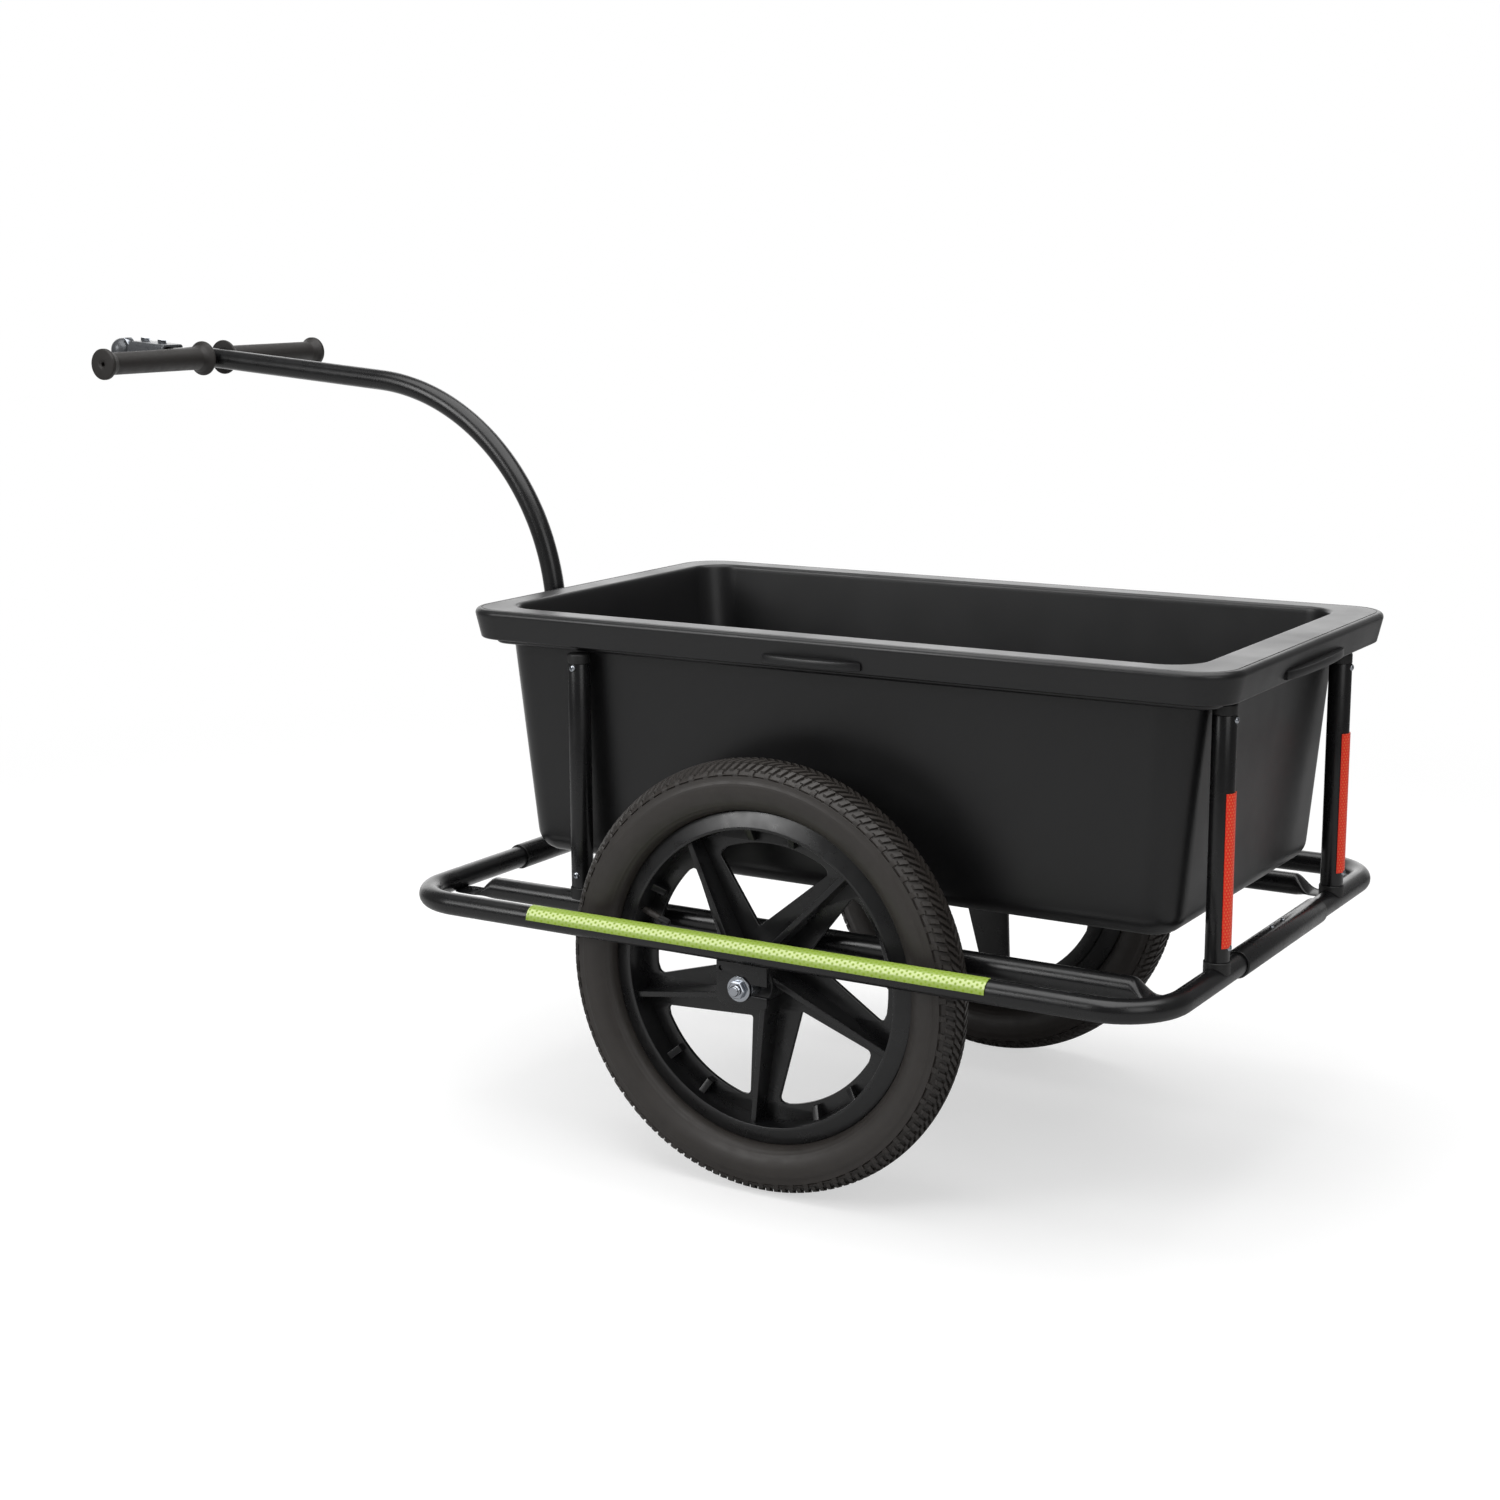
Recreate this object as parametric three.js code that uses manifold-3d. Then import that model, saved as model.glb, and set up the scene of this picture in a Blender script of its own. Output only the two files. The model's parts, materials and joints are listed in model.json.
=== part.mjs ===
// Bike trailer with one load tub: bent steel tube frame, two moulded wheels and a goose-neck tow bar.
// Millimetres. +Z is up, +X points to the tow bar and +Y to the left side.
// The trailer is drawn with its axle over the origin, and the outer group then centres it on the ground.
import * as THREE from 'three';
import * as BufferGeometryUtils from 'three/addons/utils/BufferGeometryUtils.js';
import Module from 'manifold-3d';

const wasm = await Module();
wasm.setup();

// Fits, cuts and facets
const fit = 0.3;                // clearance between pieces that touch
const overrun = 4;              // how far a cutter runs past the faces that it cuts
const weldDistance = 0.0001;    // vertices closer than this become one
const tubeSides = 16;
const boreSides = 10;
const boltSides = 10;
const hexSides = 6;
const wheelSides = 36;
const curvePoints = 5;          // points along each rounded corner of a plate
const innerTubeSides = 18;
const hubSides = 18;
const bendSteps = 6;
const towBendSteps = 12;
const cornerSteps = 6;
const windowSteps = 6;
const windowCornerSteps = 2;
const plateCornerSteps = 4;
const domeSteps = 5;
const latchSteps = 7;
const springTurnSteps = 8;
const softRingSides = 8;        // points round the section of the inner tube
const quarterTurn = Math.PI / 2;

// Frame tubes
const tubeRadius = 11;
const tubeWall = 1.5;
const railSpacing = 81.5;       // from an inner rail to the outer rail beside it
const railRise = 35.3;          // middle of the outer rails and cross tubes above the axle
const frontCrossReach = 23.1;   // front cross tube ahead of the tub's rim
const frameBend = 58;           // bend radius of the frame corners
const frameEndGap = 1;          // each half frame stops this far from the centre line
const sleeveWall = 1.7;
const frontSleeveHalf = 103;
const rearSleeveHalf = 106;

// Inner rails, whose ends are pressed flat and welded under the cross tubes
const frontTongue = 30.7;       // flat tongue, from the middle of the cross tube
const rearTongue = 35.5;
const pressLength = 20;         // from round tube to flat tongue
const tongueHalfWidth = 14;
const tongueTip = 8;            // tongue past the middle of the cross tube
// Press stations: place along the press, then half width and half height as shares of the tube's radius
const pressShares = [0.5, 1.15, 0.72];
// Place along the tongue's tip, then half widths there and at its end as shares of the tongue's
const tipShares = [0.6, 0.9, 0.45];
const drainRadius = 3;
const drainX = 300;

// Posts with their feet and caps
const sidePostGap = 2.1;        // between a front cap and the tub's wall
const rearPostGap = 0.6;        // between a rear cap and the tub's wall
const frontPostX = 232;
const rearPostY = 154;
const postRise = 235.7;         // top of the posts above the rails
const footCollar = 12;
const footRise = 5;             // collar above the top of the tube that it sits on
const footSpigot = 20;          // length inside the post
const capHeight = 9.6;
const capEdge = 2.5;
const edgeShare = 0.3;          // where a rounded edge's middle point lies, from its corner
const capPlug = 18;
const capRadius = 11.4;

// Bolts
const smallBoltShank = 3;
const smallBoltHead = 5.8;      // across the corners, halved
const smallBoltHeadHeight = 4;
const crossBoltShank = 4;
const crossBoltHead = 7.5;
const crossBoltHeadHeight = 5.3;
const crossBoltTail = 3;

// Wheels
const wheelSpacing = 39;        // from an inner rail to the wheel's middle plane
const wheelRadius = 207;
const tyreHalfWidth = 25;
const rimHalfWidth = 13;
const tyreHeight = 54.5;        // from the bead seat to the tread
const flangeHeight = 6.1;       // flange above the bead seat
const flangeY = 8.4;            // edge of the flange from the middle plane
const flangeThickness = 1.3;
const beadToe = 4;              // inner edge of each bead from the middle plane
const wellDepth = 3;            // below the bead seat
const wellHalfWidth = 3.2;
const lipDepth = 5.6;           // inner edge of the lip below the bead seat
const barrelDepth = 10.9;       // inner side of the rim at the web, below the bead seat
const webThickness = 4.5;
const windowInset = 16.1;       // windows' outer edge inside the barrel
const windowCornerInset = 2.3;
const windowCornerAngle = 28.7;
const windowStandoff = 25;      // windows' inner point from the hub
const windowPointAngle = 15.7;
const windowFillet = 6.6;
const windowCount = 5;
const windowStart = -2.7;
const ribAngle = 27.6;
const ribOffset = 12.4;         // the ribs pass beside the hub's middle, not through it
const ribThickness = 5.5;
const ribRimY = 8.5;            // front edge of a rib at the rim
const ribHubY = 20;             // and near the hub
const gussetAngle = 9.5;
const gussetStandoff = 3.5;     // gussets start this far outside the windows
const gussetInset = 2.4;        // and end this far inside the lip
const gussetWidth = 6.6;
const gussetY = -0.5;
const hubRadius = 21.5;
const hubHalf = 22;
const bushWall = 2.2;           // bearing bush pressed into the hub
const bushClearance = 0.4;      // bush to the axle sleeve that it runs on
const treadThickness = 6.4;
const sidewallThickness = 3.7;
const innerTubeStandoff = 12.5; // inner side of the inner tube, outside the bead seat
const tubeShell = 1.2;
const valveRadius = 3.2;
const valveBore = 1.3;
const valveReach = 30.6;        // valve's tip inside the barrel
const valveAngle = 70.5;

// Axles and brackets
const axleRadius = 5;
const axleTail = 2.2;           // axle past the nut
const sleeveTube = 2.2;         // wall of the axle sleeve
const collarRadius = 11;        // the sleeve's collars beside the hub
const bracketThickness = 4;
const bracketRear = -29;
const bracketFront = 25;
const bracketLow = 17;          // bracket below the axle
const bracketCorner = 8;
const bracketHole = 2.5;
const bracketHoleX = 20;
const bracketHoleDrop = 7;      // hole below the bracket's top edge
const nutHalf = 8.66;           // across the corners, halved
const nutHeight = 7;
const washerRadius = 12;
const washerThickness = 1.8;

// Reflective strips
const stripThickness = 0.8;
const limeFront = 233.5;
const limeRear = -252;
const limeLowAngle = 0;
const limeHighAngle = 100;
const redLowRise = 29.7;        // above the rails
const redHighRise = 167.7;
const redHalfAngle = 52;
const stripSteps = 6;

// Tow bar: it leans forward from the socket, bends through a right angle and runs on to the coupling
const barLean = 4.5;
const barBend = 250;
const socketHeight = 80;
const socketWall = 3;
const barFoot = 14.5;           // end of the bar above the middle of the sleeve
const socketBoltRise = 42;
const handleX = 885.2;
const handleRise = 506.7;       // above the rails
const handleRadius = 10;
const handleEnd = 170;
const gripRadius = 12.6;
const gripEndRadius = 12.2;
const gripInnerFlange = 19.35;
const gripOuterFlange = 17;
const gripInnerY = 16;
const gripOuterY = 174.4;
const gripFlange = 4;           // thickness of each flange at its foot
const gripRimEdge = 1.2;        // thickness of each flange at its edge
const gripHole = 2.4;
const gripFlankShares = [0.7, 0.4]; // places along the flanges' flanks

// Coupling, measured along the bar from the handle and above the bar's middle
const pressStart = 18;
const pressEnd = 60;
const barTip = 112;
const pressedHalf = 6;          // half height of the bar where it is pressed for the coupling
const plateStart = 63;
const plateEnd = 119;
const plateWall = 2.5;
const plateSkirt = 8;           // side walls below the bar's middle
const plateNose = 6;
const couplingBolts = [79.5, 106];
const headAt = 142.4;
const headRise = -4.4;
const headRadius = 13.5;
const headWall = 2.9;
const slotCut = 1;              // how far the strap's slot cuts into the cup
const armThickness = 4;
const armHalfWidth = 11;
const armStart = 68;
const latchPinAt = 124;
const latchPinDrop = 14;
const latchPinRadius = 2;
const latchPinHead = 3;
const latchPinHeadWidth = 1.5;
const latchBoss = 4;
const latchHalfWidth = 6;
const latchBossHalfWidth = 2.9;
const latchBand = 2.5;
const latchGap = 0.6;           // latch to dome
const latchTopAngle = 62;
const latchLowAngle = -8;
const fingerReach = 4.4;
const fingerHalfWidth = 2.7;
const fingerThickness = 2.6;
const lugThickness = 2.6;
const lugHalfLength = 5;
const springWire = 0.4;
const springTurns = 2;
const springGap = 0.2;          // least gap between turns
const heelShares = [0.8, 0.9];  // width of the lever's web at its boss, rear and front

// Tub: the rim's outline seen from above, as front, rear, half width and corner radius
const rimRise = 281.7;          // top of the rim above the rails
const rimHeight = 29.7;
const rimOutline = { front: 365.6, rear: -434.5, half: 225, corner: 42 };
const rimWidths = { front: 32.6, rear: 45, half: 32.5, corner: 8 };
const drafts = { front: 18, rear: 14.5, half: 7, corner: 2 };
const tubWall = 4;
const tubFloorRise = 34.7;      // underside of the tub above the rails
const floorFillet = 20;
const filletSteps = 4;
const rimLean = 5;              // the rim's face draws in by this much at its lower edge
const rimEdge = 6;              // rounding of the rim's top edge
const rimShoulder = 1.8;
const rimInnerEdge = 4;
const skirtWall = 4.5;
const stepInset = 20.4;         // the step that stands on the post caps
const ledgeDrop = 18;           // top of the hand-holds below the rim's top
const ledgeThickness = 8;
const ledgeReach = 8;
const sideLedge = 103;
const rearLedge = 153;
const ledgeSteps = 8;
const ledgeRoot = 3;            // how far a ledge is rooted in the rim's wall
const ledgeRoundShare = 0.98;   // how far the crescent closes towards its ends

// The wheel sets every height, and the bead seat every radius of the rim
const axleZ = wheelRadius;
const railZ = axleZ + railRise;
const postTop = railZ + postRise;
const redLow = railZ + redLowRise;
const redHigh = railZ + redHighRise;
const handleZ = railZ + handleRise;
const rimTop = railZ + rimRise;
const rimLow = rimTop - rimHeight;
const tubFloor = railZ + tubFloorRise;
const ledgeTop = rimTop - ledgeDrop;
const seatRadius = wheelRadius - tyreHeight;
const flangeRadius = seatRadius + flangeHeight;
const wellRadius = seatRadius - wellDepth;
const lipRadius = seatRadius - lipDepth;
const barrelRadius = seatRadius - barrelDepth;
const windowArc = barrelRadius - windowInset;
const windowCornerRadius = windowArc - windowCornerInset;
const windowPoint = hubRadius + windowStandoff;
const gussetInner = windowArc + gussetStandoff;
const gussetOuter = lipRadius - gussetInset;
const innerTubeLow = seatRadius + innerTubeStandoff;
const valveTip = barrelRadius - valveReach;

// Outlines of the mouth and the floor lie inside the rim's, and the posts and rails stand beside the mouth
function within(outline, widths) {
  return {
    front: outline.front - widths.front,
    rear: outline.rear + widths.rear,
    half: outline.half - widths.half,
    corner: outline.corner - widths.corner,
  };
}
const mouthOutline = within(rimOutline, rimWidths);
const floorOutline = within(mouthOutline, drafts);
const innerRailY = mouthOutline.half + tubWall + sidePostGap + capRadius;
const railY = innerRailY + railSpacing;
const wheelY = innerRailY + wheelSpacing;
const frontCrossX = rimOutline.front + frontCrossReach;
const rearCrossX = mouthOutline.rear - tubWall - rearPostGap - capRadius;
const innerRailFront = frontCrossX - frontTongue;
const innerRailRear = rearCrossX + rearTongue;

// Values that follow from the sizes above
const sleeveRadius = tubeRadius + fit + sleeveWall;
const boreRadius = tubeRadius - tubeWall;
const tongueThickness = 2 * tubeWall;
const tongueTop = railZ - tubeRadius - fit;
const innerRailZ = tongueTop - tongueThickness + tubeRadius;
const bracketTop = railZ - tubeRadius - fit;
const innerBracketTop = innerRailZ - tubeRadius - fit;
const webBack = -rimHalfWidth;
const webFront = webBack + webThickness;
const beadRadius = seatRadius + fit;
const barAngle = THREE.MathUtils.degToRad(barLean);
const headBase = -pressedHalf - fit - armThickness;
const noseX = handleX + (headAt + headRadius) * Math.cos(barAngle) - headBase * Math.sin(barAngle);
const ledgeFaceInset = rimLean * (rimTop - rimEdge - ledgeTop) / (rimTop - rimEdge - rimLow);
const tailX = rimOutline.rear + ledgeFaceInset - ledgeReach;
const middleX = (noseX + tailX) / 2;

// Finishes
function finish(colour, roughness, metalness) {
  return new THREE.MeshStandardMaterial({ color: colour, roughness, metalness });
}
const blackPaint = finish('#1d1d1e', 0.42, 0.0);
const blackPlastic = finish('#202020', 0.55, 0.0);
const wheelPlastic = finish('#232324', 0.45, 0.0);
const tyreRubber = finish('#36322e', 0.8, 0.0);
const gripRubber = finish('#3b3733', 0.7, 0.0);
const zincSteel = finish('#c6c9cd', 0.32, 1.0);
const springSteel = finish('#9da1a6', 0.3, 1.0);
const bushPlastic = finish('#d8d5cb', 0.5, 0.0);
const greyPaint = finish('#55575b', 0.5, 0.0);
const limeFilm = finish('#a9cf5a', 0.4, 0.0);
const redFilm = finish('#d8301c', 0.4, 0.0);

const trailer = new THREE.Group();
const assembly = new THREE.Group();
assembly.position.x = -middleX;
trailer.add(assembly);

function addPiece(name, geometry, material, parent = assembly) {
  const piece = new THREE.Mesh(geometry, material);
  piece.name = name;
  parent.add(piece);
  return piece;
}

// Solids and cuts
function toSolid(geometry) {
  const bare = geometry.clone();
  bare.deleteAttribute('normal');
  bare.deleteAttribute('uv');
  const merged = BufferGeometryUtils.mergeVertices(bare, weldDistance);
  const vertProperties = new Float32Array(merged.attributes.position.array);
  const triVerts = new Uint32Array(merged.index.array);
  return new wasm.Manifold(new wasm.Mesh({ numProp: 3, vertProperties, triVerts }));
}

function toGeometry(solid) {
  const mesh = solid.getMesh();
  const geometry = new THREE.BufferGeometry();
  geometry.setAttribute('position', new THREE.BufferAttribute(mesh.vertProperties, mesh.numProp));
  geometry.setIndex(new THREE.BufferAttribute(mesh.triVerts, 1));
  return geometry;
}

function cut(geometry, ...cutters) {
  let solid = toSolid(geometry);
  for (const cutter of cutters) {
    solid = solid.subtract(toSolid(cutter));
  }
  return toGeometry(solid);
}

function join(geometry, ...others) {
  let solid = toSolid(geometry);
  for (const other of others) {
    solid = solid.add(toSolid(other));
  }
  return toGeometry(solid);
}

// Turns a shape made around the Y axis so that it lies around the named axis
function along(geometry, axis) {
  if (axis === 'z') geometry.rotateX(quarterTurn);
  if (axis === 'x') geometry.rotateZ(-quarterTurn);
  return geometry;
}

function rod(radius, low, high, axis, sides = tubeSides) {
  const geometry = new THREE.CylinderGeometry(radius, radius, high - low, sides);
  geometry.translate(0, (low + high) / 2, 0);
  return along(geometry, axis);
}

// A profile is a list of [radius, place along the axis]; it starts and ends on the axis or closes on itself
function turned(profile, axis, sides = tubeSides) {
  const points = profile.map(([radius, place]) => new THREE.Vector2(radius, place));
  if (THREE.ShapeUtils.area(points) < 0) points.reverse();
  const first = points[0];
  const last = points[points.length - 1];
  if (first.x > 0 || last.x > 0) points.push(first.clone());
  return along(new THREE.LatheGeometry(points, sides), axis);
}

function ring(inner, outer, low, high, axis, sides = tubeSides) {
  return turned([[inner, low], [outer, low], [outer, high], [inner, high]], axis, sides);
}

function circle(radius, sides = tubeSides) {
  const points = [];
  for (let k = 0; k < sides; k += 1) {
    const angle = 2 * Math.PI * k / sides;
    points.push(new THREE.Vector2(radius * Math.cos(angle), radius * Math.sin(angle)));
  }
  return points;
}

// Extrudes a shape drawn in X and Z along Y, from low to high
function plateAlongY(shape, low, high) {
  const geometry = new THREE.ExtrudeGeometry(
    shape, { depth: high - low, bevelEnabled: false, curveSegments: curvePoints });
  geometry.rotateX(quarterTurn);
  geometry.translate(0, high, 0);
  return geometry;
}

function plateAlongZ(shape, low, high) {
  const geometry = new THREE.ExtrudeGeometry(
    shape, { depth: high - low, bevelEnabled: false, curveSegments: curvePoints });
  geometry.translate(0, 0, low);
  return geometry;
}

function block(xLow, xHigh, yLow, yHigh, zLow, zHigh) {
  const geometry = new THREE.BoxGeometry(xHigh - xLow, yHigh - yLow, zHigh - zLow);
  geometry.translate((xLow + xHigh) / 2, (yLow + yHigh) / 2, (zLow + zHigh) / 2);
  return geometry;
}

// Centre line of a bent tube: straight runs between corner points, with an arc at each corner
class BentLine extends THREE.Curve {
  constructor(corners, bendRadius, steps) {
    super();
    this.stops = [];
    const first = corners[0];
    const last = corners[corners.length - 1];
    const beforeLast = corners[corners.length - 2];
    this.addStop(first, corners[1].clone().sub(first).normalize());
    for (let k = 1; k < corners.length - 1; k += 1) {
      this.addBend(corners[k - 1], corners[k], corners[k + 1], bendRadius, steps);
    }
    this.addStop(last, last.clone().sub(beforeLast).normalize());
  }

  addStop(point, direction) {
    this.stops.push({ point, direction });
  }

  addBend(before, corner, after, radius, steps) {
    const way = corner.clone().sub(before).normalize();
    const wayOn = after.clone().sub(corner).normalize();
    const turn = way.angleTo(wayOn);
    const side = wayOn.clone().addScaledVector(way, -way.dot(wayOn)).normalize();
    const start = corner.clone().addScaledVector(way, -radius * Math.tan(turn / 2));
    const centre = start.clone().addScaledVector(side, radius);
    for (let k = 0; k <= steps; k += 1) {
      const angle = turn * k / steps;
      const point = centre.clone();
      point.addScaledVector(side, -radius * Math.cos(angle));
      point.addScaledVector(way, radius * Math.sin(angle));
      const direction = way.clone().multiplyScalar(Math.cos(angle));
      direction.addScaledVector(side, Math.sin(angle));
      this.addStop(point, direction);
    }
  }

  get spans() {
    return this.stops.length - 1;
  }

  stopAt(share) {
    return this.stops[Math.round(share * this.spans)];
  }

  getPoint(share, target = new THREE.Vector3()) {
    return target.copy(this.stopAt(share).point);
  }

  getPointAt(share, target = new THREE.Vector3()) {
    return target.copy(this.stopAt(share).point);
  }

  getTangentAt(share, target = new THREE.Vector3()) {
    return target.copy(this.stopAt(share).direction);
  }
}

function tubeAlong(line, radius, wall) {
  const section = new THREE.Shape(circle(radius));
  section.holes.push(new THREE.Path(circle(radius - wall, boreSides)));
  return new THREE.ExtrudeGeometry(section, { steps: line.spans, bevelEnabled: false, extrudePath: line });
}

// Closed skin through a list of rings with equal point counts; the first and last ring are filled in
function skin(rings) {
  const count = rings[0].length;
  const places = rings.flat().flatMap((point) => [point.x, point.y, point.z]);
  const faces = [];
  for (let r = 0; r < rings.length - 1; r += 1) {
    for (let k = 0; k < count; k += 1) {
      const here = r * count + k;
      const next = r * count + (k + 1) % count;
      faces.push(here, next, next + count);
      faces.push(here, next + count, here + count);
    }
  }
  const top = (rings.length - 1) * count;
  for (let k = 1; k < count - 1; k += 1) {
    faces.push(0, k + 1, k);
    faces.push(top, top + k, top + k + 1);
  }
  const geometry = new THREE.BufferGeometry();
  geometry.setAttribute('position', new THREE.Float32BufferAttribute(places, 3));
  geometry.setIndex(faces);
  return geometry;
}

// Hex head or nut around an axis
function hexNut(cornerRadius, bore, low, high, axis) {
  const shape = new THREE.Shape(circle(cornerRadius, hexSides));
  shape.holes.push(new THREE.Path(circle(bore, boltSides)));
  const geometry = plateAlongY(shape, low, high);
  return along(geometry, axis);
}

// Bolt with its hex head below and its shank going up, from the seat of the head at zero
function hexBolt(shank, head, headHeight, length, axis) {
  const hex = new THREE.CylinderGeometry(head, head, headHeight, hexSides);
  hex.translate(0, -headHeight / 2, 0);
  const stem = rod(shank, -headHeight / 2, length, 'y', boltSides);
  return along(join(hex, stem), axis);
}

// Frame: two U-shaped halves that meet inside a sleeve at the front and at the rear
function sideFrame(side) {
  const corners = [
    new THREE.Vector3(frontCrossX, side * frameEndGap, railZ),
    new THREE.Vector3(frontCrossX, side * railY, railZ),
    new THREE.Vector3(rearCrossX, side * railY, railZ),
    new THREE.Vector3(rearCrossX, side * frameEndGap, railZ),
  ];
  return tubeAlong(new BentLine(corners, frameBend, bendSteps), tubeRadius, tubeWall);
}

function sleeve(x, half) {
  return ring(tubeRadius + fit, sleeveRadius, -half, half, 'y').translate(x, 0, railZ);
}

// Inner rail: a round tube whose ends are pressed into flat tongues, level with its underside
function innerRail(side) {
  const ringAt = (x, halfWidth, halfHeight, middle) => {
    const points = [];
    for (const point of circle(1)) {
      const y = side * innerRailY + halfWidth * point.x;
      points.push(new THREE.Vector3(x, y, middle + halfHeight * point.y));
    }
    return points;
  };
  const tongueMiddle = tongueTop - tongueThickness / 2;
  const [pressShare, wideShare, flatShare] = pressShares;
  const [tipShare, roundShare, endShare] = tipShares;
  const tongueAt = (x, share) => ringAt(x, tongueHalfWidth * share, tongueThickness / 2, tongueMiddle);
  const roundAt = (x) => ringAt(x, tubeRadius, tubeRadius, innerRailZ);
  const pressedAt = (x) => ringAt(
    x, tubeRadius * wideShare, tubeRadius * flatShare, innerRailZ - tubeRadius * (1 - flatShare));
  const rings = [
    tongueAt(rearCrossX - tongueTip, endShare),
    tongueAt(rearCrossX - tongueTip * tipShare, roundShare),
    tongueAt(rearCrossX, 1),
    tongueAt(innerRailRear, 1),
    pressedAt(innerRailRear + pressLength * pressShare),
    roundAt(innerRailRear + pressLength),
    roundAt(innerRailFront - pressLength),
    pressedAt(innerRailFront - pressLength * pressShare),
    tongueAt(innerRailFront, 1),
    tongueAt(frontCrossX, 1),
    tongueAt(frontCrossX + tongueTip * tipShare, roundShare),
    tongueAt(frontCrossX + tongueTip, endShare),
  ];
  const y = side * innerRailY;
  const bore = rod(boreRadius, innerRailRear + pressLength, innerRailFront - pressLength, 'x');
  bore.translate(0, y, innerRailZ);
  const drains = [-drainX, drainX].map((x) => rod(
    drainRadius, -tubeRadius - overrun, 0, 'z', boltSides).translate(x, y, innerRailZ));
  return cut(skin(rings), bore, ...drains);
}

// A post stands on a foot that straddles a tube; each post is described by its place and its tube
const posts = {
  front_left: { x: frontPostX, y: innerRailY, tubeZ: innerRailZ, tubeAxis: 'x' },
  front_right: { x: frontPostX, y: -innerRailY, tubeZ: innerRailZ, tubeAxis: 'x' },
  rear_left: { x: rearCrossX, y: rearPostY, tubeZ: railZ, tubeAxis: 'y' },
  rear_right: { x: rearCrossX, y: -rearPostY, tubeZ: railZ, tubeAxis: 'y' },
};
const plugRadius = boreRadius - fit;

function collarTop(post) {
  return post.tubeZ + tubeRadius + footRise;
}

function postTube(post) {
  const low = collarTop(post) + fit;
  return ring(boreRadius, tubeRadius, low, postTop, 'z').translate(post.x, post.y, 0);
}

function postFoot(post) {
  const top = collarTop(post);
  const profile = [
    [0, post.tubeZ],
    [footCollar, post.tubeZ],
    [footCollar, top],
    [plugRadius, top],
    [plugRadius, top + footSpigot],
    [0, top + footSpigot],
  ];
  const body = turned(profile, 'z').translate(post.x, post.y, 0);
  const saddle = rod(tubeRadius + fit, -footCollar - overrun, footCollar + overrun, post.tubeAxis);
  return cut(body, saddle.translate(post.x, post.y, post.tubeZ));
}

function postCap(post) {
  const low = postTop + fit;
  const profile = [
    [0, postTop - capPlug],
    [plugRadius, postTop - capPlug],
    [plugRadius, low],
    [capRadius, low],
    [capRadius, low + capHeight - capEdge],
    [capRadius - capEdge * edgeShare, low + capHeight - capEdge * edgeShare],
    [capRadius - capEdge, low + capHeight],
    [0, low + capHeight],
  ];
  return turned(profile, 'z').translate(post.x, post.y, 0);
}

// Brackets that hang under the rails; the axle slides into their slots from behind
function bracket(y, top) {
  const slot = axleRadius + fit;
  const low = axleZ - bracketLow;
  const shape = new THREE.Shape();
  shape.moveTo(bracketRear, top);
  shape.lineTo(bracketRear, axleZ + slot);
  shape.lineTo(0, axleZ + slot);
  shape.absarc(0, axleZ, slot, quarterTurn, -quarterTurn, true);
  shape.lineTo(bracketRear, axleZ - slot);
  shape.lineTo(bracketRear, low + bracketCorner);
  shape.quadraticCurveTo(bracketRear, low, bracketRear + bracketCorner, low);
  shape.lineTo(bracketFront - bracketCorner, low);
  shape.quadraticCurveTo(bracketFront, low, bracketFront, low + bracketCorner);
  shape.lineTo(bracketFront, top);
  const hole = circle(bracketHole, boltSides);
  for (const point of hole) {
    point.x += bracketHoleX;
    point.y += top - bracketHoleDrop;
  }
  shape.holes.push(new THREE.Path(hole));
  return plateAlongY(shape, y - bracketThickness / 2, y + bracketThickness / 2);
}

// Running gear of the left side; the right side is the same pieces turned round
const outerBracketFace = railY - bracketThickness / 2;
const innerBracketFace = innerRailY + bracketThickness / 2;
const washerY = railY + bracketThickness / 2 + fit;
const outerNutY = washerY + washerThickness + fit;
const innerNutY = innerRailY - bracketThickness / 2 - fit - nutHeight;
const axleBore = axleRadius + fit;
const axleSleeveRadius = axleBore + sleeveTube;
const bushBore = axleSleeveRadius + bushClearance;
const bushRadius = bushBore + bushWall;
const hubBore = bushRadius + fit;

function axle() {
  return rod(axleRadius, innerNutY - axleTail, outerNutY + nutHeight + axleTail, 'y');
}

function axleNut(y) {
  return hexNut(nutHalf, axleBore, y, y + nutHeight, 'y');
}

function axleWasher() {
  return ring(axleBore, washerRadius, washerY, washerY + washerThickness, 'y');
}

// Sleeve clamped between the brackets: the hub's bush runs on it, between two collars
function axleSleeve() {
  const hubLow = wheelY - hubHalf - fit;
  const hubHigh = wheelY + hubHalf + fit;
  const low = innerBracketFace + fit;
  const high = outerBracketFace - fit;
  return turned([
    [axleBore, low], [collarRadius, low], [collarRadius, hubLow], [axleSleeveRadius, hubLow],
    [axleSleeveRadius, hubHigh], [collarRadius, hubHigh], [collarRadius, high], [axleBore, high],
  ], 'y');
}

function hubBush() {
  return ring(bushBore, bushRadius, -hubHalf, hubHalf, 'y');
}

// Wheel rim, seen from its outer side: angles run from straight up towards +X
function polar(radius, degrees) {
  const angle = THREE.MathUtils.degToRad(degrees);
  return new THREE.Vector2(radius * Math.sin(angle), radius * Math.cos(angle));
}

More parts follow.
